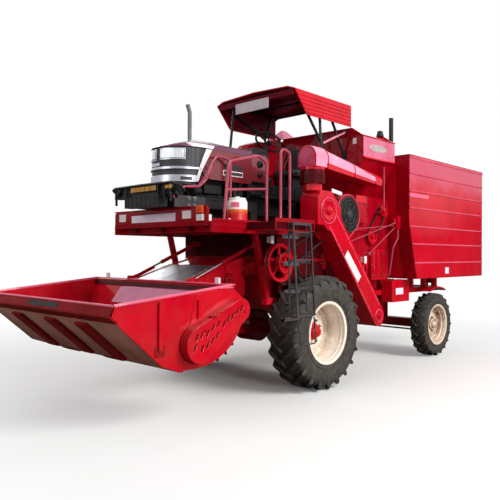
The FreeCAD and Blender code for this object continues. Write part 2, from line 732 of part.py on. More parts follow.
# ---------------------------------------------------------------- canopy
def make_canopy():
    hem, eave = 3450, C.canopy_top - 70
    sheet = C.canopy_sheet
    outline = [
        (-C.canopy_half, hem), (-C.canopy_half, eave), (-C.canopy_half + 120, eave + 45), (0, C.canopy_top),
        (C.canopy_half - 120, eave + 45), (C.canopy_half, eave), (C.canopy_half, hem),
        (C.canopy_half - sheet, hem), (C.canopy_half - sheet, eave - 8), (C.canopy_half - 122, eave + 31),
        (0, C.canopy_top - sheet), (-C.canopy_half + 122, eave + 31), (-C.canopy_half + sheet, eave - 8),
        (-C.canopy_half + sheet, hem),
    ]
    length = C.canopy_front - C.canopy_rear
    shell = prism("YZ_Plane", outline, length * 0.5, second=length * 0.5)
    move(shell, (C.canopy_front + C.canopy_rear) * 0.5, 0, 0)
    rake = prism("XZ_Plane", [
        (C.canopy_front + 20, hem - 20), (C.canopy_front - 280, hem - 20), (C.canopy_front + 20, eave + 20),
    ], C.canopy_half * 2 + 40)
    face = box(C.canopy_front - sheet - 20, C.canopy_front - 20, -C.canopy_half + 40, C.canopy_half - 40,
               3680, eave + 6)
    subpart(fuse(cut(shell, rake), face), "canopy_roof")
    subpart(group(*[canopy_side(s) for s in (1, -1)], *canopy_crossbars()), "canopy_frame")


CANOPY_UNDER = 3756
CANOPY_RAIL_Y = 600


def canopy_side(s):
    """One side of the frame: roof rail, forked main post and its ties to the tank's wall."""
    radius, thin = 19, 14
    rail_y, post_y = CANOPY_RAIL_Y * s, 650 * s
    wall = C.tank_front + C.seam
    rail = bar((-1200, rail_y, CANOPY_UNDER), (-50, rail_y, CANOPY_UNDER), 36, 26)
    brackets = [box(wall, wall + 11, 660 * s - 40, 660 * s + 40, 2980, 3100),
                box(wall + 9, wall + 29, 660 * s - 18, 660 * s + 18, 3010, 3080)]
    if s < 0:
        crotch = Vector(-960, post_y, 3396)
        return fuse(
            rail, *brackets,
            pin((130, 440 * s, C.deck_top + 3), (-75, 440 * s, CANOPY_UNDER), radius),
            box(-95, -55, *sorted_pair(435 * s, 590 * s), CANOPY_UNDER - 13, CANOPY_UNDER + 13),
            pin((-960, post_y, C.tank_floor - 1), (-960, post_y, 3416), radius),
            pin(crotch, (-1060, rail_y, CANOPY_UNDER), radius),
            pin(crotch, (-75, rail_y, CANOPY_UNDER), radius),
            pin((-960, post_y, 3240), (wall + 21, 660 * s, 3045), thin))
    crotch = Vector(-650, post_y, 3160)
    return fuse(
        rail, *brackets,
        pin((-650, post_y, C.tank_floor - 1), (-650, post_y, 3180), radius),
        pin(crotch, (-670, rail_y, CANOPY_UNDER), radius),
        pin(crotch, (-200, rail_y, CANOPY_UNDER), radius),
        pin((-800, rail_y, CANOPY_UNDER), (wall + 21, 660 * s, 3060), radius),
        pin((-660, post_y, 3130), (wall + 23, 690 * s, 3370), thin),
        box(wall, wall + 29, 690 * s - 20, 690 * s + 20, 3345, 3385))


def canopy_crossbars():
    """Bars across the roof, clear of the sides by a seam."""
    half = CANOPY_RAIL_Y - 18 - C.seam
    return [bar((x, -half, CANOPY_UNDER), (x, half, CANOPY_UNDER), 36, 26) for x in (-120, -670, -1180)]


# ---------------------------------------------------------------- tractor
def make_tractor():
    base = C.deck_top
    engine = box(421, 1330, -215, 215, 2286, 2760)
    subpart(engine, "engine_block")
    beams = mirrored(lambda s: box(301, 1655, *sorted_pair(300 * s, 360 * s), 2160, 2285))
    nose = box(1595, 1655, -360, 360, 2160, 2285)
    saddle = box(1180, 1300, -360, 360, base, 2285)
    rear_saddle = box(301, 420, -360, 360, base, 2285)
    subpart(fuse(*beams, nose, saddle, rear_saddle), "tractor_frame")
    trunk = box(-1080, 300, -190, 190, 2140, 2560)
    dash = box(-40, 390, -250, 250, 2560, 2930)
    trumpets = rod("y", 90, -540, 540, -780, 2330)
    flanges = mirrored(lambda s: rod("y", 150, *sorted_pair(530 * s, 560 * s), -780, 2330))
    foot = box(-860, -700, -190, 190, base, 2145)
    floor = mirrored(lambda s: box(-520, 280, *sorted_pair(190 * s, 420 * s), 2350, 2370))
    pedestal = box(-900, -700, -120, 120, 2550, 2738)
    subpart(fuse(trunk, dash, trumpets, *flanges, foot, *floor, pedestal), "tractor_gearbox")
    carrier = fuse(box(1700, 1800, -570, 570, 2270, 2400), box(1656, 1710, -200, 200, 2180, 2300))
    weights = [box(1715, 1830, -325 + 82 * i, -325 + 82 * i + 74, 2150, 2268) for i in range(8)]
    subpart(group(carrier, *weights), "front_weights")


def make_hood():
    """One-piece hood: side profile and plan shape intersected, hollow, open below and behind."""
    side = [
        (C.hood_rear, 2500), (C.hood_rear, 2940), (1000, 3015), (1330, 2975), (1500, 2910),
        (C.hood_front, 2830), (C.hood_front, 2420), (1340, 2420), (1240, 2500),
    ]
    half = C.hood_half
    plan = [
        (C.hood_rear, -half), (1160, -half), (1390, -half + 45), (1540, -half + 130),
        (C.hood_front, -half + 235), (C.hood_front, half - 235), (1540, half - 130), (1390, half - 45),
        (1160, half), (C.hood_rear, half),
    ]
    outer = common(prism("XZ_Plane", side, 900), prism("XY_Plane", plan, 4000, second=10))
    inner_side, inner_plan = inset(side, C.hood_wall), inset(plan, C.hood_wall)
    back, low = C.hood_rear - 50, 2350
    hollow_side = [(back, low), (back, inner_side[1][1])] + inner_side[1:6] + [(inner_side[6][0], low)]
    hollow_plan = [(back, inner_plan[0][1])] + inner_plan[1:9] + [(back, inner_plan[9][1])]
    inner = common(prism("XZ_Plane", hollow_side, 900), prism("XY_Plane", hollow_plan, 4000, second=10))
    subpart(cut(outer, inner), "tractor_hood")


def make_cockpit():
    cushion = box(-984, -590, -230, 230, 2740, 2830)
    backrest = box(-1070, -986, -220, 220, 2760, 3230)
    subpart(group(cushion, backrest), "driver_seat")
    centre = Vector(-330, 0, 3190)
    tilt = Rotation(Vector(0, 1, 0), -32)
    ring = DOC.addObject("Part::Torus", "ring")
    bind(ring, Radius1=200, Radius2=15)
    ring.Placement = Placement(centre, tilt)
    hub = DOC.addObject("Part::Cylinder", "hub")
    bind(hub, Radius=38, Height=34)
    hub.Placement = Placement(centre + tilt.multVec(Vector(0, 0, -34)), tilt)
    spokes = []
    for angle in (30, 150, 270):
        out = tilt.multVec(Vector(math.cos(math.radians(angle)), math.sin(math.radians(angle)), 0) * 196)
        spokes.append(pin(centre + tilt.multVec(Vector(0, 0, -16)), centre + out, 9))
    column = pin(centre + tilt.multVec(Vector(0, 0, -30)), (-70, 0, 2800), 24)
    flange = box(-80, -41, -50, 50, 2750, 2850)
    subpart(fuse(ring, hub, *spokes, column, flange), "steering_wheel")
    pipe = bent_tube([(760, -425, 2350), (760, -425, 3480), (800, -425, 3580)], 27, 60)
    subpart(fuse(tube_feature([pipe]), rod("y", 22, -415, -216, 760, 2400)), "tractor_exhaust")


def make_vents():
    top = C.straw_top + 1
    stack = rod("z", 36, top, 3860, -2750, 500)
    stem = rod("z", 28, top, 3530, -2410, 500)
    cap = DOC.addObject("Part::Cone", "cap")
    bind(cap, Radius1=62, Radius2=40, Height=85)
    move(cap, -2410, 500, 3510)
    subpart(group(stack, fuse(stem, cap)), "roof_vents")


def make_jug():
    body = revolve([(0, 0), (118, 0), (118, 230), (100, 262), (40, 270), (40, 300), (0, 300)])
    move(body, 1060, 760, C.deck_top + 1, Rotation(Vector(1, 0, 0), 90))
    subpart(body, "water_jug")


# ---------------------------------------------------------------- header and feeder
HEADER_OUTLINE = [
    (C.lip_x - 40, C.lip_z + 80), (C.lip_x, C.lip_z), (2440, 668), (2260, C.trough_bottom),
    (2070, C.trough_bottom), (1830, 650), (1610, 1310),
]


def rear_wall_x(z):
    """Station of the trough's rear wall at a height."""
    (x0, z0), (x1, z1) = HEADER_OUTLINE[5], HEADER_OUTLINE[6]
    return x0 + (z - z0) * (x1 - x0) / (z1 - z0)


def make_header():
    inner = inset(HEADER_OUTLINE, C.header_wall)
    above = 1500
    hollow = [(inner[0][0], above)] + inner[:6] + [inner[6], (inner[6][0], above)]
    body = new_body()
    extrude(body, sketch(body, "XZ_Plane", HEADER_OUTLINE), C.header_half * 2)
    solid_volume = volume_of(body)
    room = C.header_half * 2 - C.header_wall * 2
    extrude(body, sketch(body, "XZ_Plane", hollow), room, kind="PartDesign::Pocket")
    assert volume_of(body) < solid_volume * 0.3, "the trough is not hollow"
    throat = box(1400, 1900, -C.feeder_half + 40, C.feeder_half - 40, 800, 1180)
    ribs = [box(x, x + 40, *sorted_pair((C.header_half - 1) * s, (C.header_half + 26) * s), z, 1190)
            for s in (1, -1) for x, z in ((2500, 760), (2040, 1010))]
    # Deflector sheet ahead of the rear wall, over the auger: a level flange, then a steep apron.
    deflector = prism("XZ_Plane", [
        (rear_wall_x(1238) + 6, 1238), (1800, 1238), (1932, 1066), (1926, 1062), (1797, 1232),
        (rear_wall_x(1232) + 6, 1232)], 430, second=C.header_half - 8)
    # Lugs behind the wall take the eyes of the balance stays.
    eye = Vector(C.stay_eye_x.value, 0, C.stay_eye_z.value)
    lugs = []
    for s in (1, -1):
        for gap in (-31, 19):
            lug = prism("XZ_Plane", [
                (eye.x - 24, 1322), (eye.x + 24, 1311), (1608, 1290), (rear_wall_x(1240) + 4, 1240),
                (rear_wall_x(1300) + 4, 1300), (1596, 1360), (eye.x - 24, 1360)], 12)
            lugs.append(move(lug, 0, C.stay_y * s + gap + 6, 0))
        lugs.append(rod("y", 10, C.stay_y * s - 31, C.stay_y * s + 31, eye.x, eye.z))
    subpart(fuse(cut(body, throat), *ribs, deflector, *lugs), "header_trough")


def make_header_auger():
    shaft = rod("y", 88, -C.header_half + 22, C.header_half - 22, C.auger_x, C.auger_z)
    inner, outer, sheet = 84, C.auger_radius.value, 8
    flights = []
    for s in (1, -1):
        helix = Part.makeHelix(380, 760, inner, 0, s < 0)
        profile = Part.makePolygon([Vector(inner, 0, 0), Vector(outer, 0, 0), Vector(outer, 0, sheet),
                                    Vector(inner, 0, sheet), Vector(inner, 0, 0)])
        flight = Part.Wire(helix.Edges).makePipeShell([profile], True, True)
        flight.rotate(Vector(), Vector(1, 0, 0), -90)
        start = 410 if s > 0 else -410 - 768
        flight.translate(Vector(C.auger_x.value, start, C.auger_z.value))
        feature = DOC.addObject("Part::Feature", "flight")
        feature.Shape = flight
        flights.append(feature)
    subpart(fuse(shaft, *flights), "header_auger")


def make_chain_guard():
    low, high = C.header_half + 1, C.header_half + 110
    upper, lower = (1570, 1070, 115), (2110, 775, 175)
    ends = [rod("y", radius, low, high, x, z) for x, z, radius in (upper, lower)]
    along = Vector(lower[0] - upper[0], lower[1] - upper[1], 0).normalize()
    normal = Vector(-along.y, along.x, 0)
    tilt = math.asin((lower[2] - upper[2]) / Vector(lower[0] - upper[0], lower[1] - upper[1], 0).Length)
    corners = []
    for (x, z, radius), side in ((upper, 1), (lower, 1), (lower, -1), (upper, -1)):
        touch = normal * (side * math.cos(tilt)) - along * math.sin(tilt)
        corners.append((x + touch.x * radius, z + touch.y * radius))
    web = prism("XZ_Plane", corners, -low, second=high)
    subpart(fuse(*ends, web), "chain_guard")


def along(p, q, x):
    """Height at x on the line from p to q."""
    return p[1] + (q[1] - p[1]) * (x - p[0]) / (q[0] - p[0])


def make_feeder():
    """Two side sheets, roof, floor and closed rear end, a seam apart, around the crop's way up."""
    bottom, top, low_wall = 740, 1280, 815
    rear_end, sheet = 1150, 40
    foot, lip = (rear_wall_x(bottom) - 1, bottom), (rear_wall_x(top) - 1, top)
    crest, heel = (1020, 1490), (C.pivot_x.value, 1120)
    roof_bend, roof_back, floor_back = (1620, 1180), (rear_end, 1340), (rear_end, 1010)
    seam = C.seam.value
    room = C.feeder_half.value - sheet
    outline = [foot, lip, crest, (C.pivot_x, 1585), heel]
    sides = [prism("XZ_Plane", outline, -room - seam, second=C.feeder_half),
             prism("XZ_Plane", outline, C.feeder_half, second=-room - seam)]
    roof = prism("XZ_Plane", [
        (rear_wall_x(roof_bend[1]) - 1, roof_bend[1]), lip, (rear_end, along(crest, lip, rear_end)),
        roof_back, roof_bend], room * 2)
    floor = prism("XZ_Plane", [
        foot, (rear_wall_x(low_wall) - 1, low_wall), floor_back,
        (rear_end, along(heel, foot, rear_end))], room * 2)
    block_end = rear_end - seam
    block = prism("XZ_Plane", [
        (block_end, along(heel, foot, block_end)), (block_end, along(crest, lip, block_end)), crest,
        (C.pivot_x, 1585), heel], room * 2)
    boss = rod("y", 62, -room, room, C.pivot_x, C.pivot_z)
    bore = rod("y", 30.5, -600, 600, C.pivot_x, C.pivot_z)
    collars = [rod("y", 62, *sorted_pair((room + seam) * s, (C.feeder_half + 40) * s), C.pivot_x, C.pivot_z)
               for s in (1, -1)]
    ears = []
    for side in (1, -1):
        for gap in (-34, 22):
            middle = C.lift_y * side + gap
            ears.append(prism("XZ_Plane", [
                (C.lift_eye_x - 30, C.lift_eye_z - 30), (C.lift_eye_x + 30, C.lift_eye_z - 30),
                (C.lift_eye_x + 80, 860), (C.lift_eye_x - 80, 905)], -middle, second=middle + 12))
        ears.append(rod("y", 15, C.lift_y * side - 34, C.lift_y * side + 34, C.lift_eye_x, C.lift_eye_z))
    cheeks = [cut(fuse(side, collar), bore) for side, collar in zip(sides, (collars[0], collars[1]))]
    subpart(group(*cheeks, roof, fuse(floor, *ears), cut(fuse(block, boss), bore)), "feeder_house")


def make_lift_cylinders():
    base = Vector(C.lift_base_x.value, 0, C.lift_base_z.value)
    eye = Vector(C.lift_eye_x.value, 0, C.lift_eye_z.value)
    along = (eye - base).normalize()
    barrels, rods = [], []
    for s in (1, -1):
        aside = Vector(0, C.lift_y.value * s, 0)
        gland = base + along * 760
        tube = cut(pin(base + aside + along * 60, gland + aside, 42),
                   pin(base + aside + along * 90, gland + aside + along * 9, 26))
        bearing = cut(rod("y", 34, C.lift_y * s - 16, C.lift_y * s + 16, C.lift_base_x, C.lift_base_z),
                      rod("y", 15.5, C.lift_y * s - 40, C.lift_y * s + 40, C.lift_base_x, C.lift_base_z))
        neck = pin(base + aside + along * 28, base + aside + along * 62, 13)
        barrels.append(fuse(tube, neck, bearing))
        shaft = fuse(pin(base + aside + along * 460, eye + aside - along * 50, 24),
                     pin(eye + aside - along * 51, eye + aside - along * 26, 15))
        shaft = cut(shaft, rod("y", 30, C.lift_y * s - 40, C.lift_y * s + 40, C.lift_eye_x, C.lift_eye_z))
        end = cut(rod("y", 34, C.lift_y * s - 16, C.lift_y * s + 16, C.lift_eye_x, C.lift_eye_z),
                  rod("y", 20, C.lift_y * s - 40, C.lift_y * s + 40, C.lift_eye_x, C.lift_eye_z))
        rods.append(fuse(shaft, end))
    subpart(group(*barrels), "lift_barrels")
    subpart(group(*rods), "lift_rods")


def make_balance_stays():
    """Telescopic stays from the body's front wall to the top of the trough's rear wall."""
    base = Vector(C.stay_x.value, 0, C.stay_z.value)
    eye = Vector(C.stay_eye_x.value, 0, C.stay_eye_z.value)
    along = (eye - base).normalize()
    sleeves, rods = [], []
    for s in (1, -1):
        y = C.stay_y * s
        aside = Vector(0, y.value, 0)
        ring = cut(rod("y", 24, y - 13, y + 13, base.x, base.z),
                   rod("y", 10.5, y - 40, y + 40, base.x, base.z))
        sleeve = cut(pin(base + aside + along * 44, base + aside + along * 620, 24),
                     pin(base + aside + along * 70, base + aside + along * 630, 14))
        sleeves.append(fuse(ring, pin(base + aside + along * 18, base + aside + along * 46, 11), sleeve))
        shaft = cut(pin(base + aside + along * 330, eye + aside - along * 20, 12),
                    rod("y", 20, y - 40, y + 40, eye.x, eye.z))
        end = cut(rod("y", 24, y - 13, y + 13, eye.x, eye.z), rod("y", 14, y - 40, y + 40, eye.x, eye.z))
        rods.append(fuse(shaft, end))
    subpart(group(*sleeves), "stay_sleeves")
    subpart(group(*rods), "stay_rods")


# ---------------------------------------------------------------- build, check and write
make_wheels()
make_frame()
make_front_axle()
make_rear_axle()
make_knuckles()
make_housing()
make_straw_hood()
make_grain_tank()
make_elevator()
make_unloader()
make_drives()
make_side_box()
make_deck()
make_bumper()
make_feeder_mount()
make_railing()
make_ladder()
make_canopy()
make_tractor()
make_hood()
make_cockpit()
make_vents()
make_jug()
make_header()
make_header_auger()
make_chain_guard()
make_feeder()
make_lift_cylinders()
make_balance_stays()
DOC.recompute()

for thing in DOC.Objects:
    faults = {"Invalid", "Error"} & set(thing.State)
    assert not faults, f"{thing.Label} is {faults}"
for piece in SUBPARTS:
    assert not piece.Shape.isNull(), f"{piece.Label} is empty"
    assert piece.Shape.isValid(), f"{piece.Label} is not valid"

os.makedirs("parts", exist_ok=True)
for piece in SUBPARTS:
    piece.Shape.exportStep(f"parts/{piece.Label}.step")
    bounds = piece.Shape.BoundBox
    print(f"{piece.Label:22s} {len(piece.Shape.Solids)} solids, {piece.Shape.Volume / 1e9:.4f} m3, "
          f"x {bounds.XMin:.0f}..{bounds.XMax:.0f}, y {bounds.YMin:.0f}..{bounds.YMax:.0f}, "
          f"z {bounds.ZMin:.0f}..{bounds.ZMax:.0f}")
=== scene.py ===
# %% [markdown]
# # A combine harvester built round a tractor
# The machine's construction comes from a CAD frame that is loaded first and stays as it is. These cells
# give it its finish: paint, rubber, glass and dust as node materials, and the small pieces that a CAD model
# leaves out. Every new piece rides on a CAD body, so it moves when the machine is posed.

# %% Load the frame
import math

import bmesh
import bpy
from mathutils import Matrix, Vector


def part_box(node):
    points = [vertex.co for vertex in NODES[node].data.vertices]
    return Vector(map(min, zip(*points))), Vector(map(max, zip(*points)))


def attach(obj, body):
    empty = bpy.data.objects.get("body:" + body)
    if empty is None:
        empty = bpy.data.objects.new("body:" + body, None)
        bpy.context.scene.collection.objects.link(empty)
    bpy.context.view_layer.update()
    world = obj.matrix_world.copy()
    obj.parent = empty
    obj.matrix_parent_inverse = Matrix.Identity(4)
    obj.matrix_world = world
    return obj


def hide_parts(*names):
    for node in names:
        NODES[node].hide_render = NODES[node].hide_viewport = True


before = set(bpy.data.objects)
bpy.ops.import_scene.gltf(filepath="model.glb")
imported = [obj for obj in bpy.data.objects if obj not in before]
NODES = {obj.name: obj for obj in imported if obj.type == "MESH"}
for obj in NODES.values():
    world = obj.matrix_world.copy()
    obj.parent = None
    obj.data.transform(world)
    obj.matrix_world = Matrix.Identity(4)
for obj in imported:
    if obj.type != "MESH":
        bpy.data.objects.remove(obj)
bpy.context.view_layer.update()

# %% [markdown]
# ## Stations
# The maker measures from the machine itself: X forward from the front axle, Y to the left of the mid-plane
# and Z up from the ground, in metres. Both zeros are read from the wheels, so the pieces follow the frame.

# %% Where the stations start
def middle(node):
    low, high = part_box(node)
    return (low + high) / 2


AXLE = middle("front_left_tyre")
ORIGIN = Vector((AXLE.x, (AXLE.y + middle("front_right_tyre").y) / 2, 0))
AHEAD, LEFT, UP, RIGHTWARD = (1, 0, 0), (0, 1, 0), (0, 0, 1), (0, -1, 0)
SIDES = (-1, 1)  # right, left


def station_box(node):
    """A CAD node's lowest and highest corner in stations."""
    low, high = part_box(node)
    return low - ORIGIN, high - ORIGIN


def mirror(side, near, far):
    """Two distances from the mid-plane on one side, the lower first."""
    return sorted((side * near, side * far))


rear = middle("rear_left_tyre") - ORIGIN
print("front wheel radius", round(AXLE.z, 3), "rear axle at", [round(v, 3) for v in rear])

# %% [markdown]
# ## Materials
# A material is a small tree of nodes. One function adds a node with its settings and links. Colours are
# written as sRGB hex, as a paint chart gives them, and one function turns them to the linear values that
# the renderer works in.

# %% Colour and node helpers
def hex_colour(code):
    """sRGB hex, such as #C01020, as linear RGBA."""
    parts = [int(code[i:i + 2], 16) / 255 for i in (1, 3, 5)]
    return [c / 12.92 if c <= 0.04045 else ((c + 0.055) / 1.055) ** 2.4 for c in parts] + [1.0]


def feed(tree, node, inputs):
    """Each input gets a value, a hex colour, or a link if it is given a socket."""
    for key, value in inputs.items():
        if isinstance(value, bpy.types.NodeSocket):
            tree.links.new(value, node.inputs[key])
        else:
            node.inputs[key].default_value = hex_colour(value) if isinstance(value, str) else value


def put(tree, kind, inputs=(), output=0, **settings):
    """Adds a node and gives one of its outputs; inputs come in order or by name, as feed takes them."""
    node = tree.nodes.new("ShaderNode" + kind)
    for name, value in settings.items():
        setattr(node, name, value)
    feed(tree, node, inputs if isinstance(inputs, dict) else dict(enumerate(inputs)))
    return node.outputs[output]


def start_material(name):
    """A material, its tree and object coordinates in metres."""
    material = bpy.data.materials.new(name)
    material.use_nodes = True
    tree = material.node_tree
    return material, tree, put(tree, "TexCoord", output="Object")


def blotches(place, size, detail=4.0):
    """What a noise is fed with, so that its blotches are about `size` metres across."""
    return {"Vector": place, "Scale": 1 / size, "Detail": detail, "Roughness": 0.55}


def cells(place, size, **more):
    """What a cell pattern is fed with, so that its cells are about `size` metres across."""
    return {"Vector": place, "Scale": 1 / size, **more}


def uneven(tree, place, size, low, high, first=0.0, last=1.0, detail=4.0):
    """Soft blotches of about `size` metres: first to last where the noise goes from low to high."""
    noise = put(tree, "TexNoise", blotches(place, size, detail), "Fac")
    return put(tree, "MapRange", [noise, low, high, first, last])


def mottled(tree, place, size, low, high, first, second, detail=4.0):
    """One colour with soft blotches of another."""
    share = uneven(tree, place, size, low, high, detail=detail)
    return put(tree, "Mix", {0: share, 6: first, 7: second}, 2, data_type="RGBA")


def grained(tree, place, size, first, second):
    """Grains of about `size` metres, each somewhere between the two colours."""
    tint = put(tree, "TexVoronoi", cells(place, size), "Color")
    share = put(tree, "SeparateXYZ", [tint], "X")
    return put(tree, "Mix", {0: share, 6: first, 7: second}, 2, data_type="RGBA")


def finish_off(material, colour, roughness, relief, depth, **more):
    """Feeds the shader: colour, roughness, a relief in metres, and more by the input's name."""
    tree = material.node_tree
    bump = put(tree, "Bump", {"Height": relief, "Distance": depth}, "Normal")
    inputs = {"Base Color": colour, "Roughness": roughness, "Normal": bump}
    inputs.update({name.replace("_", " "): value for name, value in more.items()})
    feed(tree, tree.nodes["Principled BSDF"], inputs)
    return material


FIELD_DUST = "#8A6A52"


def dusty(tree, place, tone, amount, floor=0.0, head=2.2):
    """The tone under field dust: thick from head down to floor and on what faces up, broken by noise."""
    height = put(tree, "SeparateXYZ", [place], "Z")
    low = put(tree, "MapRange", [height, head, floor])
    normal = put(tree, "NewGeometry", output="Normal")
    facing = put(tree, "SeparateXYZ", [normal], "Z")
    up = put(tree, "MapRange", [facing, 0.4, 1.0])
    patchy = uneven(tree, place, 0.25, 0.38, 0.72)
    fallen = put(tree, "Math", [up, 0.35, low], operation="MULTIPLY_ADD")
    settled = put(tree, "Math", [fallen, patchy], operation="MULTIPLY")
    share = put(tree, "Math", [settled, amount], operation="MULTIPLY")
    return put(tree, "Mix", {0: share, 6: tone, 7: FIELD_DUST}, 2, data_type="RGBA")


# %% [markdown]
# ### Red enamel
# The panels are pressed steel sheet with a coat of glossy alkyd enamel, sprayed in the factory. Enamel is a
# pigment layer under a clear skin of resin, so the base is rather rough and a clear coat lies on top. Thin
# sheet is never flat: a slow wave of some decimetres bends the reflections. Dust dulls the lower half.

# %% Red enamel
def enamel(name, colour, dark, coat=0.5, dust=0.16, roughness=0.42, sky_sheen_band=None):
    """sky_sheen_band: heights between which the paint turns pink, a painted reflection of the sky."""
    material, tree, place = start_material(name)
    # The slow buckles in thin sheet are some 0.32 m long, and the rubbed spots 45 mm
    wave = put(tree, "TexNoise", blotches(place, 0.32, 2.0), "Fac")
    share = put(tree, "MapRange", [wave, 0.35, 0.7])
    tone = put(tree, "Mix", {0: share, 6: colour, 7: dark}, 2, data_type="RGBA")
    if sky_sheen_band:
        height = put(tree, "SeparateXYZ", [place], "Z")
        edge = put(tree, "TexNoise", blotches(place, 0.45), "Fac")
        ragged = put(tree, "Math", [edge, 0.5, height], operation="MULTIPLY_ADD")
        sky_sheen_share = put(tree, "MapRange", [ragged, sky_sheen_band[0] + 0.25, sky_sheen_band[1] + 0.25, 0.0, 0.5])
        # Painted reflection: the sky's pink sheen is mixed into the paint between the band's heights, with a
        # ragged edge.
        tone = put(tree, "Mix", {0: sky_sheen_share, 6: tone, 7: "#C4607E"}, 2, data_type="RGBA")
    dull = uneven(tree, place, 0.045, 0.3, 0.75, roughness - 0.08, roughness + 0.16, 6.0)
    return finish_off(material, dusty(tree, place, tone, dust), dull, wave, 0.0022, Specular_IOR_Level=0.03,
        Coat_Weight=coat, Coat_Roughness=0.07)


RED = enamel("red_alkyd_enamel", "#C80020", "#B4001A")
# Hood sheets: their upper bands turn pink, a painted reflection of the sky.
HOOD_SKY_SHEEN = enamel("hood_enamel_painted_sky_sheen", "#C80022", "#B6001C", sky_sheen_band=(2.58, 2.84))
# A darker copy of the red enamel, painted shade for parts and faces that lie in shade.
RED_IN_PAINTED_SHADE = enamel("red_enamel_darkened_for_shade", "#9C0016", "#84000F", coat=0.3)
# Paler red drawn on edges and laps: a painted highlight.
EDGE_HIGHLIGHT_RED = enamel("edge_enamel_painted_highlight", "#D84C66", "#C83E58", dust=0.1)
# Darker red for the thresher's sides: painted shade from the deck and overhang.
THRESHER_SIDE_SHADE = enamel("shaded_side_enamel", "#AC001A", "#8E0014", coat=0.35)
# Near-black red: painted shadow for places that lie deep in shade.
DEEP_PAINTED_SHADOW = enamel("shaded_red_enamel", "#4E020C", "#3A0208", coat=0.1, dust=0.12)
# Pale pink: a painted highlight on edges and strips; also the real colour of the jug's label.
PINK_HIGHLIGHT_AND_LABEL = enamel("pink_enamel_painted_highlight_and_label", "#E86A84", "#DA5672", dust=0.15)
# Rose red: the tubes' red with their sheen painted in, a painted highlight.
ROSE_SHEEN_RED = enamel("rose_enamel_with_painted_sheen", "#B24A5E", "#9A3A4A", dust=0.1)
# Pale pink: painted reflection of the sky on the spout's roof.
SPOUT_SKY_REFLECTION = enamel("pink_enamel_painted_sky_reflection", "#F09AB6", "#E486A4", dust=0.1)
# Pink: painted light on the elbow's sunlit end sheet.
ELBOW_PAINTED_LIGHT = enamel("sunlit_elbow_enamel", "#CC4A70", "#BC3C62", dust=0.1)
# Pale pink: painted light on the tank's lit upright sides and its cover.
TANK_SIDE_PAINTED_LIGHT = enamel("pink_tank_enamel_painted_light", "#D06C88", "#BE5874", dust=0.1)
# Pink-lilac: painted reflection of the sky on the deflector's upward sheet.
DEFLECTOR_SKY_REFLECTION = enamel("deflector_enamel_painted_sky_reflection", "#CC7B9B", "#C06C8C", dust=0.2)
# Pale pinkish brown: dust, with a painted reflection of the ground on the header's underside.
UNDERSIDE_DUST_AND_REFLECTION = enamel("underside_enamel_dust_and_painted_reflection", "#C89084", "#AE766A", coat=0.05, dust=0.5, roughness=0.6)
# Darker red: painted shade on the header lip's front and the ribs under its floor.
LIP_AND_RIB_SHADE = enamel("lip_enamel_darkened_for_shade", "#8E0A14", "#74060E", coat=0.05, dust=0.1, roughness=0.5)
# Maroon: painted shade inside the canopy.
CANOPY_UNDERSIDE_SHADE = enamel("shaded_maroon_enamel", "#6A0A20", "#52081A", coat=0.05, dust=0.05, roughness=0.5)
TAIL_RED = enamel("red_lamp_plastic", "#D01018", "#B80C12", dust=0.1, roughness=0.15)
print("red enamel, linear:", [round(c, 3) for c in hex_colour("#C80020")[:3]])

# %% [markdown]
# ### The tractor's metallic paint
# The tractor under the machine has a finer car-like finish: a wine colour with aluminium flakes under a
# thick clear coat. Part of the base reflects as metal does, and the coat is smooth.

# %% Metallic wine paint
def metallic_paint(name, colour, dark):
    material, tree, place = start_material(name)
    # Flakes are drawn 2.5 mm wide, coarser than real ones, so that they show
    tone = dusty(tree, place, grained(tree, place, 0.0025, dark, colour), 0.25, 1.0, 3.4)
    wave = put(tree, "TexNoise", blotches(place, 0.3, 2.0), "Fac")
    return finish_off(material, tone, 0.34, wave, 0.0012, Metallic=0.4, Coat_Weight=1.0,
        Coat_Roughness=0.06)


WINE = metallic_paint("metallic_wine_paint", "#701A4C", "#4A1034")
CANDY = metallic_paint("metallic_red_paint", "#8A0C26", "#5A0718")

# %% [markdown]
# ### Plain enamels, films, iron and steel
# Black frame paint, grey tread paint and the cream of the wheels are satin enamels, and a blank film or
# plate looks much the same. Cast iron is left in a dull primer that holds oil and soil. Galvanised sheet
# shows the spangle of its zinc, and hard chrome on the rams is nearly a mirror.

# %% Satin enamels and metals
def satin(name, colour, dark, dust=0.1, roughness=0.45, grain=0.006, depth=0.0002):
    material, tree, place = start_material(name)
    tone = mottled(tree, place, 0.12, 0.35, 0.7, colour, dark)
    rough = uneven(tree, place, 0.03, 0.3, 0.7, roughness - 0.08, roughness + 0.1)
    skin = put(tree, "TexNoise", blotches(place, grain, 3.0), "Fac")
    return finish_off(material, dusty(tree, place, tone, dust, 0.0, 2.6), rough, skin, depth,
        Specular_IOR_Level=0.25)


def metal(name, colour, dark, roughness, grain, depth=0.00015, dust=0.15):
    material, tree, place = start_material(name)
    tone = dusty(tree, place, grained(tree, place, grain, colour, dark), dust)
    rough = uneven(tree, place, 0.04, 0.0, 1.0, roughness * 0.7, roughness * 1.3)
    skin = put(tree, "TexNoise", blotches(place, grain, 2.0), "Fac")
    return finish_off(material, tone, rough, skin, depth, Metallic=1.0)


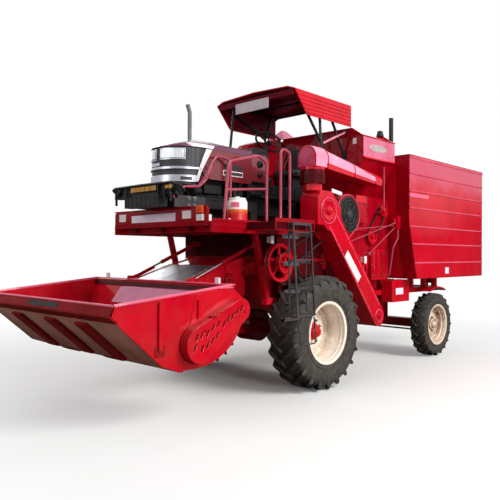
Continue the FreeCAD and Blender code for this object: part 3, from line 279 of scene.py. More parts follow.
BLACK = satin("black_chassis_enamel", "#0E0E10", "#161517", dust=0.12)
SLATE = satin("dark_grey_enamel", "#3A3B40", "#2B2C30", dust=0.3, roughness=0.5)
SOOT = satin("heat_greyed_pipe", "#77787C", "#606166", roughness=0.5)
GREY = satin("grey_tread_enamel", "#83868C", "#6A6C72", dust=0.4, roughness=0.5)
CREAM = satin("cream_wheel_enamel", "#E9DCC4", "#DDCBA9", dust=0.3, roughness=0.4)
WHITE = satin("white_vinyl_film", "#E8E4E4", "#DAD3D6", roughness=0.35)
LILAC = satin("pale_blank_plate", "#EAE6F4", "#DCD6EC", roughness=0.3)
ORANGE = satin("orange_reflector", "#D8551A", "#B93C10", roughness=0.2)
GOLD = satin("gold_vinyl_film", "#C99A45", "#A87A2C", roughness=0.35)
OVAL = satin("faded_grey_film", "#B3A6A4", "#A39493", dust=0.15, roughness=0.42)
BOARD = satin("faded_white_film", "#CFC3C8", "#BFB2B8", dust=0.15, roughness=0.42)
# Pale pink: the brace tube's red with its sheen painted in, a painted highlight.
BRACE_SHEEN_PINK = satin("pink_brace_enamel_painted_sheen", "#D98A9A", "#C7727F", dust=0.15, roughness=0.42)
IRON = satin("primed_cast_iron", "#131214", "#0B0A0C", dust=0.2, roughness=0.62, grain=0.004, depth=0.0006)
BELT = satin("rubber_belt", "#17161A", "#222024", dust=0.3, roughness=0.7)
STEEL = metal("galvanised_sheet", "#C3C6CA", "#A7ABB0", 0.42, 0.02)
WORN_STEEL = metal("worn_bare_steel", "#9C9A98", "#77716B", 0.38, 0.01, dust=0.3)
SILVER = metal("silver_moulding_lacquer", "#B9BAC3", "#A9ABB5", 0.28, 0.003, depth=0.00003, dust=0.1)
CHROME = metal("hard_chrome", "#D8DADD", "#CFD1D5", 0.12, 0.02, depth=0.00002, dust=0.05)

# %% [markdown]
# ### Rubber
# Tyre rubber is black carbon filled rubber. It leaves the mould with a fine texture and greys with light,
# while the corners beside the lugs are darkened: painted shade together with soil. Ambient occlusion finds
# those corners.

# %% Tyre rubber
def corners_of(tree, reach, open_share, closed_share):
    """1 in the corners that other faces hide within reach, 0 out in the open."""
    seen = put(tree, "AmbientOcclusion", {"Distance": reach}, "AO", samples=8)
    return put(tree, "MapRange", [seen, open_share, closed_share])


def rubber(name, colour, greyed, groove_shade_and_soil):
    material, tree, place = start_material(name)
    tone = mottled(tree, place, 0.05, 0.35, 0.7, colour, greyed, 8.0)
    clods = uneven(tree, place, 0.03, 0.2, 0.6, 0.0, 0.8)
    # Painted shade and soil: ambient occlusion darkens the corners beside the lugs.
    groove_shade_and_soil_share = put(tree, "Math", [corners_of(tree, 0.09, 0.85, 0.35), clods], operation="MULTIPLY")
    tone = put(tree, "Mix", {0: groove_shade_and_soil_share, 6: tone, 7: groove_shade_and_soil}, 2, data_type="RGBA")
    mould = put(tree, "TexNoise", blotches(place, 0.004), "Fac")
    return finish_off(material, tone, 0.72, mould, 0.0006, Specular_IOR_Level=0.35)


TYRE = rubber("tyre_rubber", "#2F2C2A", "#4C463F", "#0F0D0B")

# %% [markdown]
# ### Vinyl, polyethylene and glass
# The seat is covered with embossed vinyl over foam. The water jug is blow-moulded polyethylene in three
# colours. The lamps have clear lenses over a bright reflector, so a pale shiny body stands for both.

# %% Vinyl, jug bands, lamp lens and dark grille
def vinyl(name, colour, dark):
    material, tree, place = start_material(name)
    leather_grain = 0.006
    edges = put(tree, "TexVoronoi", cells(place, leather_grain), "Distance", feature="DISTANCE_TO_EDGE")
    grain = put(tree, "MapRange", [edges, 0.0, 0.12])
    return finish_off(material, mottled(tree, place, 0.1, 0.3, 0.7, colour, dark), 0.5, grain, 0.0005)


def jug_plastic(foot):
    """White above, an orange band, red below; foot is the station where the jug stands."""
    material, tree, place = start_material("moulded_polyethylene")
    height = put(tree, "SeparateXYZ", [place], "Z")
    level = put(tree, "MapRange", [height, foot, foot + 0.3])
    bands = put(tree, "ValToRGB", [level], "Color")
    colours = bands.node.color_ramp
    colours.interpolation = "CONSTANT"
    colours.elements[0].color = hex_colour("#C90D1C")
    colours.elements[1].color = hex_colour("#F1EEEC")
    colours.elements.new(0.36).color = hex_colour("#E0611F")
    colours.elements.new(0.5).color = hex_colour("#EFECEA")
    blown = put(tree, "TexNoise", blotches(place, 0.04), "Fac")
    return finish_off(material, bands, 0.38, blown, 0.001, Subsurface_Weight=0.15,
        Subsurface_Radius=(0.01, 0.01, 0.01))


def lens(name, colour, rib):
    """Lamp lens: pale reflector behind glass with upright flutes every `rib` metres."""
    material, tree, place = start_material(name)
    wave = {"Vector": place, "Scale": 0.3142 / rib, "Distortion": 0.6}
    flutes = put(tree, "TexWave", wave, "Fac", bands_direction="Y")
    tone = put(tree, "Mix", {0: flutes, 6: colour, 7: "#A9AEB8"}, 2, data_type="RGBA")
    return finish_off(material, tone, 0.12, flutes, 0.001, Metallic=0.35, Coat_Weight=1.0,
        Coat_Roughness=0.02)


def perforated(name, colour, hole, pitch):
    """Punched sheet: dark round holes on a square pitch, across the Y and Z of a side wall or nose."""
    material, tree, place = start_material(name)
    middle_away = put(tree, "TexVoronoi", cells(place, pitch, Randomness=0.0), "Distance")
    edge = hole / pitch / 2
    inside = put(tree, "MapRange", [middle_away, edge + 0.04, edge - 0.04])
    tone = put(tree, "Mix", {0: inside, 6: colour, 7: "#050506"}, 2, data_type="RGBA")
    return finish_off(material, tone, 0.5, inside, -0.002)


VINYL = vinyl("embossed_vinyl", "#202024", "#17171A")
JUG = jug_plastic(station_box("water_jug")[0].z)
LENS = lens("fluted_lamp_lens", "#F2F4F8", 0.012)
GRILLE = perforated("black_moulded_grille", "#26262B", 0.01, 0.014)

# %% [markdown]
# ## Finish of the frame's own pieces
# A CAD node whose shape is right keeps its mesh and only gets a material. Its sharp folds get a small bevel
# from a modifier, because pressed sheet has a bend radius that catches the light.

# %% Materials on the CAD nodes
CORNERS = ("front_left", "front_right", "rear_left", "rear_right")
FINISH = {
    # The thresher housing takes a darker red, painted shade.
    THRESHER_SIDE_SHADE: ["thresher_housing"],
    RED: ["straw_hood", "grain_tank", "grain_elevator", "unloading_spout", "tool_box", "header_trough",
          "header_auger", "chain_guard", "feeder_house", "canopy_roof", "main_frame", "mudguards"],
    RED_IN_PAINTED_SHADE: ["operator_deck", "front_bumper", "feeder_mount", "front_axle", "rear_axle", "lift_barrels",
               "stay_sleeves", "drive_pulleys"],
    ROSE_SHEEN_RED: ["deck_railing"],
    BLACK: ["canopy_frame", "fan_screen", "front_weights", "steering_wheel", "roof_vents"],
    SOOT: ["tractor_exhaust"],
    CREAM: [corner + "_rim" for corner in CORNERS],
    TYRE: [corner + "_tyre" for corner in CORNERS],
    IRON: ["engine_block", "tractor_frame", "tractor_gearbox", "steering_knuckle_left",
           "steering_knuckle_right", "tie_rod"],
    WINE: ["tractor_hood"],
    SLATE: ["boarding_ladder"],
    STEEL: ["straw_walkers"],
    WORN_STEEL: ["stay_rods"],
    CHROME: ["lift_rods"],
    VINYL: ["driver_seat"],
    JUG: ["water_jug"],
}
for finish, names in FINISH.items():
    for name in names:
        NODES[name].data.materials.clear()
        NODES[name].data.materials.append(finish)
print("CAD nodes without a finish:", sorted(set(NODES) - {n for names in FINISH.values() for n in names}))


# %% Small bend radii on pressed sheet
def bevel(thing, radius, angle=40):
    """Rounds the folds that turn by more than the angle."""
    bend = thing.modifiers.new("bend radius", "BEVEL")
    bend.width = radius
    bend.segments = 2
    bend.limit_method = "ANGLE"
    bend.angle_limit = math.radians(angle)


BEND_RADII = {"straw_hood": 0.01, "grain_tank": 0.006, "thresher_housing": 0.008, "tool_box": 0.006,
    "operator_deck": 0.004, "front_bumper": 0.006, "feeder_house": 0.008, "canopy_roof": 0.003,
    "grain_elevator": 0.006, "unloading_spout": 0.008}
for name, radius in BEND_RADII.items():
    weld = NODES[name].modifiers.new("weld", "WELD")
    weld.merge_threshold = 0.0002
    bevel(NODES[name], radius)
    NODES[name].modifiers.new("flat faces stay flat", "WEIGHTED_NORMAL")
print("bend radii on", len(BEND_RADII), "nodes")

# %% [markdown]
# ## How the new pieces are made
# Sheet metal, bar and cast pieces are all skins between a few outlines. One small class collects such solids
# in a mesh, with every point in stations. A piece is then rounded by a bevel modifier where real metal has a
# bend radius, and its sharp folds are marked so that flat faces stay flat.

# %% Outlines, tubes and turned bodies
def spin(angle, radius):
    return radius * math.cos(angle), radius * math.sin(angle)


def around(count, radius, start=0.0):
    """Evenly spaced (across, up) places on a circle; start is a share of one step."""
    return [spin(math.tau * (i + start) / count, radius) for i in range(count)]


def steps_between(first, last, steps):
    return [first + (last - first) * i / steps for i in range(steps + 1)]


def trapeze(middle, foot, top, low, high):
    """Outline of a pressed rib about its middle: half widths foot at low and top at high."""
    return [(middle - foot, low), (middle + foot, low), (middle + top, high), (middle - top, high)]


def rounded(path, radius, steps=5):
    """The path with each inner corner replaced by an arc, as a bender makes it."""
    path = [Vector(p) for p in path]
    bent = [path[0]]
    for before, corner, after in zip(path, path[1:], path[2:]):
        come, leave = (before - corner).normalized(), (after - corner).normalized()
        half = come.angle(leave) / 2
        if math.pi / 2 - half < 0.03:
            bent.append(corner)
            continue
        cut = min(radius / math.tan(half), (before - corner).length * 0.48, (after - corner).length * 0.48)
        reach = cut * math.tan(half)
        centre = corner + (come + leave).normalized() * (reach / math.sin(half))
        start, end = corner + come * cut - centre, corner + leave * cut - centre
        bent += [centre + start.slerp(end, i / steps) * reach for i in range(steps + 1)]
    return bent + [path[-1]]


def cross_axes(axis):
    """The axis and two directions across it."""
    axis = Vector(axis).normalized()
    side = axis.orthogonal().normalized()
    return axis, side, axis.cross(side)


class Shape:
    """Solids and sheets of one piece, in stations."""

    def __init__(self):
        self.points = []
        self.faces = []

    def add(self, points, faces):
        start = len(self.points)
        self.points += [Vector(p) for p in points]
        self.faces += [[start + i for i in face] for face in faces]
        return self

    def loft(self, rings, closed=False):
        """Skin between rings of equal length with caps; closed joins the last ring to the first."""
        count = len(rings[0])
        spans = len(rings) if closed else len(rings) - 1
        faces = []
        for i in range(spans):
            a, b = i * count, (i + 1) % len(rings) * count
            faces += [[a + j, a + (j + 1) % count, b + (j + 1) % count, b + j] for j in range(count)]
        if not closed:
            last = (len(rings) - 1) * count
            faces += [list(range(count))[::-1], list(range(last, last + count))]
        return self.add([p for ring in rings for p in ring], faces)

    def grid(self, rows):
        """Open skin through rows of points."""
        wide = len(rows[0])
        faces = [[i * wide + j, i * wide + j + 1, (i + 1) * wide + j + 1, (i + 1) * wide + j]
            for i in range(len(rows) - 1) for j in range(wide - 1)]
        return self.add([p for row in rows for p in row], faces)

    def box(self, x0, x1, y0, y1, z0, z1):
        ring = [(x0, y0), (x1, y0), (x1, y1), (x0, y1)]
        return self.loft([[(x, y, z) for x, y in ring] for z in (z0, z1)])

    def prism(self, axis, outline, start, end):
        """Outline in the other two axes, in their order, pushed along the axis."""
        spot = {"x": lambda a, b, c: (c, a, b), "y": lambda a, b, c: (a, c, b),
            "z": lambda a, b, c: (a, b, c)}
        return self.loft([[spot[axis](a, b, c) for a, b in outline] for c in (start, end)])

    def sweep(self, path, section, up=UP, ring=False):
        """Section points (across, up) carried along the path with mitred corners."""
        path = [Vector(p) for p in path]
        count = len(path)
        steps = [(path[(i + 1) % count] - path[i]).normalized() for i in range(count)]
        first = steps[0]
        across = first.cross(Vector(up)).normalized()
        rise = across.cross(first)
        offsets = [across * a + rise * b for a, b in section]
        rings = []
        for i in range(count):
            before = steps[i - 1] if i else steps[0]
            after = steps[i] if (i < count - 1 or ring) else steps[i - 1]
            plane = (before + after).normalized()
            offsets = [o - before * (o.dot(plane) / before.dot(plane)) for o in offsets]
            rings.append([path[i] + o for o in offsets])
            offsets = [o - after * o.dot(after) for o in offsets]
        return self.loft(rings, closed=ring)

    def tube(self, path, radius, sides=10, bend=0.0):
        path = rounded(path, bend) if bend else path
        upright = abs((Vector(path[1]) - Vector(path[0])).normalized().z) > 0.9
        return self.sweep(path, around(sides, radius), AHEAD if upright else UP)

    def flat(self, path, wide, thick, up=UP):
        """Flat bar: wide across, thick along up."""
        a, b = wide / 2, thick / 2
        return self.sweep(path, [(-a, -b), (a, -b), (a, b), (-a, b)], up)

    def lathe(self, centre, axis, profile, steps=40):
        """Turns a closed profile of (along, radius) points about an axis."""
        axis, side, other = cross_axes(axis)
        rings = [[Vector(centre) + axis * s + (side * a + other * b) * r for s, r in profile]
            for a, b in around(steps, 1.0)]
        return self.loft(rings, closed=True)

    def turned(self, centre, axis, profile, steps=40):
        """A solid turned body: the profile runs from one flat end to the other."""
        return self.lathe(centre, axis, [(profile[0][0], 0)] + profile + [(profile[-1][0], 0)], steps)

    def hoop(self, centre, axis, radius, wire, steps=48, sides=8):
        return self.lathe(centre, axis, [(a, radius + b) for a, b in around(sides, wire)], steps)

    def bolt(self, centre, axis, size, high=None):
        """Hexagon head with a chamfer, on a washer."""
        along, side, other = cross_axes(axis)
        high = high or size * 0.4
        centre = Vector(centre)
        rings = [[centre + along * reach + side * a + other * b for a, b in around(6, radius * size)]
            for reach, radius in ((0.0, 0.5), (high * 0.75, 0.5), (high, 0.4))]
        return self.loft(rings).turned(centre, along, [(0, size * 0.72), (high * 0.22, size * 0.72)], 16)

    def bolts(self, spots, axis, size, high=None):
        for spot in spots:
            self.bolt(spot, axis, size, high)
        return self

    def bolt_circle(self, centre, axis, count, radius, size, start=0.0):
        """Bolts round a shaft that lies along Y."""
        x, y, z = centre
        return self.bolts([(x + a, y, z + b) for a, b in around(count, radius, start)], axis, size)


def plain_object(name, shape, fold=None):
    """An object with the shape's mesh; with a fold it is welded and faces that turn less look smooth."""
    mesh = bpy.data.meshes.new(name)
    mesh.from_pydata([p + ORIGIN for p in shape.points], [], shape.faces)
    work = bmesh.new()
    work.from_mesh(mesh)
    if fold:
        bmesh.ops.remove_doubles(work, verts=work.verts, dist=0.00001)
    bmesh.ops.recalc_face_normals(work, faces=work.faces)
    work.to_mesh(mesh)
    work.free()
    if fold:
        mesh.shade_smooth()
        mesh.set_sharp_from_angle(angle=math.radians(fold))
    thing = bpy.data.objects.new(name, mesh)
    bpy.context.scene.collection.objects.link(thing)
    return thing


def settle(thing):
    """Applies the object's modifiers."""
    bpy.context.view_layer.update()
    ready = bpy.data.meshes.new_from_object(thing.evaluated_get(bpy.context.evaluated_depsgraph_get()))
    thing.modifiers.clear()
    thing.data = ready


# %% [markdown]
# ### Bodies
# Each piece rides on one CAD body and moves with it.


def piece(name, shape, finish, bend=0.0, body="chassis", fold=35):
    """Makes the object, lays its finish and puts it on its body."""
    thing = plain_object(name, shape, fold)
    thing.data.materials.append(finish)
    if bend:
        bevel(thing, bend)
    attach(thing, body)
    print(name, "on", body, len(thing.data.polygons), "faces")
    return thing


# %% [markdown]
# ## Tyres
# Drive tyres have a rounded carcass and two rows of slanted lugs that meet in a V at the crown, which enters
# the ground point first. Each lug leans as it runs to the shoulder and then goes down the side wall. The
# carcass is turned, and each lug is a skin through a few sections laid on it.

# %% Tyre
def tyre(side, lugs, wall):
    """side names the wheel; lugs is the number on each row; wall the carcass height."""
    node = side + "_tyre"
    low, high = station_box(node)
    centre = (low + high) / 2
    outer, half = (high.z - low.z) / 2, (high.y - low.y) / 2
    lug_high = outer * 0.052
    crown, bead = outer - lug_high, outer - wall
    profile = [(-0.74, bead), (-0.86, bead + 0.012), (-0.9, bead + wall * 0.1), (-0.99, bead + wall * 0.4),
        (-1.0, bead + wall * 0.55), (-0.95, bead + wall * 0.76), (-0.84, crown - 0.02),
        (-0.6, crown - 0.007), (-0.3, crown - 0.002)]
    outside = [(a * half, r) for a, r in profile + [(0, crown)] + [(-a, r) for a, r in profile[::-1]]]
    inside = [(0.6 * half, bead + 0.02), (-0.6 * half, bead + 0.02)]
    shape = Shape().lathe(centre, LEFT, outside + inside, 96)
    for edge in SIDES:
        shape.hoop(centre + Vector((0, edge * half * 0.945, 0)), LEFT, bead + wall * 0.22, 0.006, 96)
    lean = half * 1.02 / outer
    # Across the tread, share of the lean, foot and top of the lug
    track = [(-0.05, 0.0, crown, outer), (0.25, 0.25, crown, outer),
        (0.55, 0.55, crown - 0.004, outer - 0.001), (0.8, 0.78, crown - 0.016, outer - 0.006),
        (0.955, 0.9, crown - wall * 0.1, outer - 0.024), (0.99, 0.96, crown - wall * 0.19,
        crown - wall * 0.12), (0.985, 1.0, bead + wall * 0.66, bead + wall * 0.7)]
    for row in SIDES:
        for i in range(lugs):
            start = math.tau * (i + (0.5 if row > 0 else 0)) / lugs
            rings = []
            for k, (across, turn, base, top) in enumerate(track):
                on_tread = k < 5
                thick = outer * (0.046 + 0.012 * across)
                ring = []
                for offset, radius, widen in ((-0.5, base - 0.004, 1.35), (-0.5, top, 0.85),
                        (0.5, top, 0.85), (0.5, base - 0.004, 1.35)):
                    shift = offset * thick * widen
                    push = shift * 0.7 if on_tread else 0
                    theta = start + lean * turn + shift * (0.7 if on_tread else 1.0) / radius
                    a = row * (across * half * (0.985 if radius == top else 1.0)) - row * push
                    x, z = spin(theta, radius)
                    ring.append(centre + Vector((x, a, z)))
                rings.append(ring)
            shape.loft(rings)
    thing = piece(side + "_tread_tyre", shape, TYRE, 0.003, side + "_wheel", 50)
    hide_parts(node)


LUGS = {"front": (22, 0.331), "rear": (20, 0.202)}
for side in CORNERS:
    tyre(side, *LUGS[side.split("_")[0]])
print("tyres: lugs a row and height of the wall", LUGS)

# %% [markdown]
# ## Rims and hubs
# A rim is rolled from strip: a curled flange, a seat for the tyre's bead, a small hump and the drop centre.
# The dished disc is welded inside it, far back on the front wheels. The enamel browns where little light gets
# in: painted shade mixed with soil and rust in the barrel.

# %% Wheel enamel
def wheel_enamel(name, colour, shade_and_stain, amount):
    material, tree, place = start_material(name)
    stains = uneven(tree, place, 0.12, 0.32, 0.62, detail=5.0)
    # Painted shade and dirt: ambient occlusion browns the hidden corners of the barrel.
    shade = put(tree, "Math", [corners_of(tree, 0.3, 0.95, 0.25), stains], operation="MULTIPLY")
    spots = uneven(tree, place, 0.03, 0.6, 0.68, 0.0, 0.45, 6.0)
    shade_and_dirt = put(tree, "Math", [shade, amount, spots], operation="MULTIPLY_ADD")
    tone = put(tree, "Mix", {0: shade_and_dirt, 6: colour, 7: shade_and_stain}, 2, data_type="RGBA")
    return finish_off(material, tone, 0.42, put(tree, "TexNoise", blotches(place, 0.02), "Fac"), 0.0004)


WHEEL_SIZES = {
    "front": {"bead": 0.356, "flange": 0.381, "lip": 0.2, "dish": -0.08, "well": 0.33, "hub": 0.074,
              "nuts": 8, "circle": 0.135, "reach": 0.105},
    "rear": {"bead": 0.305, "flange": 0.329, "lip": 0.122, "dish": -0.03, "well": 0.28, "hub": 0.058,
             "nuts": 6, "circle": 0.105, "reach": 0.075},
}
PAINT = {"front": wheel_enamel("cream_wheel_enamel", "#EFE3D2", "#8C6A48", 0.75),
    "rear": wheel_enamel("soiled_and_shaded_wheel_enamel", "#E2CDB6", "#6B3A22", 1.2)}
HUB_PAINT = {"front": (RED, "red_paint"), "rear": (PAINT["rear"], "cream_paint")}


# %% Rims, hubs and nuts
def wheel(side):
    """A wheel's end of the machine, sizes, centre and outward direction."""
    low, high = station_box(side + "_tyre")
    end = side.split("_")[0]
    return end, WHEEL_SIZES[end], (low + high) / 2, 1 if low.y > 0 else -1


def rim(side):
    end, size, centre, sign = wheel(side)
    bead, flange, lip, dish, well = (size[k] for k in ("bead", "flange", "lip", "dish", "well"))
    hole = 0.045
    tread = [(-lip, flange), (-lip + 0.012, flange), (-lip + 0.013, bead), (-lip * 0.5, bead - 0.005),
        (-lip * 0.4, well), (lip * 0.3, well), (lip * 0.45, bead - 0.006), (lip - 0.013, bead),
        (lip - 0.012, flange), (lip, flange)]
    inner = [(lip + 0.001, flange - 0.009), (lip - 0.008, bead - 0.01), (lip * 0.78, bead - 0.012),
        (lip * 0.74, bead - 0.02), (lip * 0.5, bead - 0.022), (lip * 0.36, well - 0.012),
        (dish + 0.012, well - 0.012)]
    disc = [(dish + 0.004, well - 0.02), (dish + 0.014, well * 0.78), (dish + 0.04, well * 0.6),
        (dish + 0.04, well * 0.34), (dish + 0.03, well * 0.3), (dish + 0.03, hole)]
    back = [(dish + 0.018, hole), (dish + 0.018, well * 0.3), (dish + 0.028, well * 0.36),
        (dish + 0.028, well * 0.59), (dish, well * 0.8), (dish - 0.008, well - 0.012),
        (-lip * 0.36, well - 0.012), (-lip * 0.5, bead - 0.022), (-lip + 0.008, bead - 0.01),
        (-lip - 0.001, flange - 0.009)]
    shape = Shape().lathe(centre, (0, sign, 0), tread + inner + disc + back, 72)
    for a, b in around(4, well * 0.72, 0.5):
        shape.flat([centre + Vector((a * 0.86, sign * (dish + 0.032), b * 0.86)),
            centre + Vector((a * 1.14, sign * (dish + 0.012), b * 1.14))], 0.05, 0.012, (0, sign, 0))
    thing = piece(side + "_dished_rim", shape, PAINT[end], 0.0015, side + "_wheel")
    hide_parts(side + "_rim")


def hub(side):
    end, size, centre, sign = wheel(side)
    out = (0, sign, 0)
    cap, reach, dish = size["hub"], size["reach"], size["dish"]
    foot = centre + Vector((0, sign * (dish + 0.03), 0))
    shape = Shape().turned(foot, out, [(-0.1, cap * 1.2), (0.008, cap * 1.2), (0.012, cap * 1.45),
        (0.024, cap * 1.42), (0.03, cap), (reach * 0.72, cap * 0.94), (reach * 0.8, cap * 0.74),
        (reach, cap * 0.55), (reach + 0.006, cap * 0.3)], 36)
    shape.bolt_circle(foot + Vector((0, sign * reach * 0.74, 0)), out, 6, cap * 0.83, 0.014)
    finish, slot = HUB_PAINT[end]
    piece(side + "_hub", shape, finish, 0.0015, side + "_wheel")
    nuts = Shape()
    for a, b in around(size["nuts"], size["circle"], 0.5):
        spot = centre + Vector((a, sign * (dish + 0.04), b))
        nuts.bolt(spot, out, 0.028, 0.018)
        nuts.lathe(spot, out, [(0.01, 0), (0.01, 0.007), (0.034, 0.006), (0.034, 0)], 10)
    valve = centre + Vector((size["well"] * 0.8, sign * (size["lip"] * 0.35), size["well"] * 0.5))
    nuts.tube([valve, valve + Vector((-0.01, sign * 0.045, -0.008))], 0.006, 8)
    piece(side + "_wheel_nuts", nuts, WORN_STEEL, body=side + "_wheel")


for side in CORNERS:
    rim(side)
    hub(side)

# %% [markdown]
# ## The tractor's hood
# The hood is one deep-drawn shell. Seen from above its nose is a blunt curve, and every trim strip, lamp and
# grille follows that curve. So each is a patch on one curved wall: a place on it is given by how far round
# the nose it is and how high, and a patch is lofted between a few such rows.

# %% The curved wall of the nose
NOSE_BACK, NOSE_DEPTH, HOOD_HALF, HOOD_REAR = 1.16, 0.44, 0.36, 0.4
NOSE_ROUND = 0.87  # 1 would be an ellipse; less is blunter


def nose(turn, height, out=0.0):
    """turn: 0 at the front middle, 1 where the side starts, 2 at the hood's rear; negative on the right."""
    side = math.copysign(1, turn)
    bend = min(abs(turn), 1.0) * math.pi / 2
    x = NOSE_BACK + (NOSE_DEPTH + out) * max(math.cos(bend), 0.0) ** NOSE_ROUND
    y = (HOOD_HALF + out) * math.sin(bend) ** NOSE_ROUND if bend > 0 else 0.0
    x -= max(abs(turn) - 1.0, 0.0) * (NOSE_BACK - HOOD_REAR)
    return Vector((x, side * y, height))


def turn_at(y):
    """How far round the nose a distance from the middle is."""
    bend = math.asin(min(abs(y) / HOOD_HALF, 1.0) ** (1 / NOSE_ROUND))
    return math.copysign(bend * 2 / math.pi, y)


def patch(shape, rows, out, thick, steps=18):
    """Plate on the wall; each row is (height, first turn, last turn)."""
    rings = []
    for height, first, last in rows:
        turns = steps_between(first, last, steps)
        outer, inner = [[nose(t, height, reach) for t in turns] for reach in (out, out - thick)]
        rings.append(outer + inner[::-1])
    return shape.loft(rings)


def patches(shape, rows, out, thick, steps=18):
    """The same plate on both sides of the nose."""
    for side in SIDES:
        patch(shape, [(height, side * first, side * last) for height, first, last in rows], out,
            thick, steps)


# %% Hood shell
def profile_height(x, line):
    """Height at x on a line of (x, height) points, level beyond its ends."""
    for (x0, z0), (x1, z1) in zip(line, line[1:]):
        if x0 <= x <= x1:
            return z0 + (z1 - z0) * (x - x0) / (x1 - x0)
    return line[-1][1] if x > line[-1][0] else line[0][1]


RIDGE = [(0.4, 2.945), (0.7, 2.985), (1.0, 3.01), (1.2, 3.0), (1.36, 2.968), (1.48, 2.925), (1.56, 2.885)]
EDGE = [(0.0, 2.872), (0.35, 2.884), (0.62, 2.906), (1.15, 2.923), (2.0, 2.931)]
LIP = 2.855


def hood_lid():
    shape = Shape()
    turns = steps_between(-2, 2, 96)
    rows = [[nose(t, LIP, -0.004) for t in turns], [nose(t, LIP + 0.006, 0.002) for t in turns],
        [nose(t, profile_height(abs(t), EDGE) - 0.008, 0.002) for t in turns]]
    for k in range(9):
        inward = (k / 8) ** 1.35
        row = []
        for t in turns:
            edge = nose(t, profile_height(abs(t), EDGE), -0.008)
            spine_x = min(edge.x, 1.16 + (edge.x - 1.16) * 0.92)
            flat_x = edge.x + (spine_x - edge.x) * inward
            top = profile_height(spine_x, RIDGE)
            rise = 1 - (1 - inward) ** 2.1
            row.append(Vector((flat_x, edge.y * (1 - inward), edge.z + (top - edge.z) * rise)))
        rows.append(row)
    shape.grid(rows)
    lid = piece("hood_lid", shape, WINE, body="hood", fold=28)
    body = lid.modifiers.new("sheet", "SOLIDIFY")
    body.thickness = 0.006
    body.offset = -1
    return lid


lid = hood_lid()
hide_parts("tractor_hood")

sides = Shape()
patches(sides, [(2.505, 1.03, 2), (2.53, 0.95, 2), (2.62, 0.93, 2), (2.75, 1.0, 2), (2.86, 1.1, 2)], 0.0,
    0.008, 24)
patches(sides, [(2.45, 0.8, 0.93), (2.49, 0.82, 0.98), (2.53, 0.84, 1.04)], 0.004, 0.01)
piece("hood_sides", sides, CANDY, 0.002, "hood")

# %% [markdown]
# Behind the grille is a black moulding. Silvered strips divide it, and two lamps sit in its upper band.

# %% Grille, strips and lamps
grille = Shape()
patch(grille, [(2.535, -0.93, 0.93), (2.62, -0.92, 0.92), (2.75, -0.98, 0.98), (2.862, -1.06, 1.06)], -0.01,
    0.016, 40)
patch(grille, [(2.425, -0.86, 0.86), (2.47, -0.86, 0.86)], -0.016, 0.012, 30)
piece("nose_grille", grille, GRILLE, 0.001, "hood")

silver = Shape()
patch(silver, [(2.598, -0.9, 0.9), (2.604, -0.905, 0.905), (2.622, -0.905, 0.905), (2.628, -0.9, 0.9)],
    0.008, 0.016, 40)
patch(silver, [(2.452, -0.8, 0.8), (2.47, -0.82, 0.82), (2.515, -0.85, 0.85), (2.532, -0.85, 0.85)], 0.012,
    0.022, 40)
piece("nose_strips", silver, SILVER, 0.003, "hood")

white = Shape()
patches(white, [(2.462, 0.8, 0.845), (2.53, 0.825, 0.875), (2.62, 0.862, 0.928), (2.74, 0.925, 1.01),
    (2.853, 0.985, 1.1)], 0.006, 0.012)
patches(white, [(2.862, 0.716, 1.12), (2.884, 0.65, 1.135), (2.9035, 0.6, 1.15)], 0.0045, 0.003)
patches(white, [(2.575, 1.342, 1.785), (2.636, 1.342, 1.785)], 0.002, 0.003)
piece("hood_white_trim", white, WHITE, 0.0012, "hood")

dark = Shape()
patches(dark, [(2.585, 1.355, 1.772), (2.626, 1.355, 1.772)], 0.0035, 0.004)
patches(dark, [(2.655, 1.355, 1.765), (2.715, 1.355, 1.765)], 0.002, 0.004)
patches(dark, [(2.52, 1.965, 1.972), (2.92, 1.965, 1.972)], 0.001, 0.004, 2)
for i in range(6):
    high = 2.662 + i * 0.009
    patches(dark, [(high, 1.37, 1.75), (high + 0.004, 1.37, 1.75)], 0.006, 0.008, 6)
patches(dark, [(2.472, turn_at(0.268), turn_at(0.33)), (2.508, turn_at(0.268), turn_at(0.33))],
    0.0145, 0.004)
piece("hood_vents", dark, GRILLE, body="hood")

lamps = Shape()
bezels = Shape()
for first, last in ((-0.3, -0.03), (0.03, 0.3)):
    patch(bezels, [(2.708, turn_at(first), turn_at(last)), (2.842, turn_at(first), turn_at(last))],
        -0.004, 0.01)
    patch(lamps, [(2.722, turn_at(first + 0.014), turn_at(last - 0.012)),
        (2.775, turn_at(first + 0.01), turn_at(last - 0.012)), (2.83, turn_at(first + 0.014),
        turn_at(last - 0.016))], 0.006, 0.014)
piece("lamp_bezels", bezels, SILVER, 0.002, "hood")
piece("nose_lamps", lamps, LENS, 0.004, "hood")
badge = patch(Shape(), [(2.64, turn_at(-0.16), turn_at(0.02)), (2.676, turn_at(-0.16), turn_at(0.02))],
    0.0, 0.008)
piece("nose_blank_badge", badge, LILAC, 0.002, "hood")

# %% [markdown]
# ## Bumper, guard and weights
# The deck ends in a folded bumper sheet with blank reflective film, an orange marker lamp and a clear one.
# The suitcase weights in front carry a blank gold film on their guard bar.

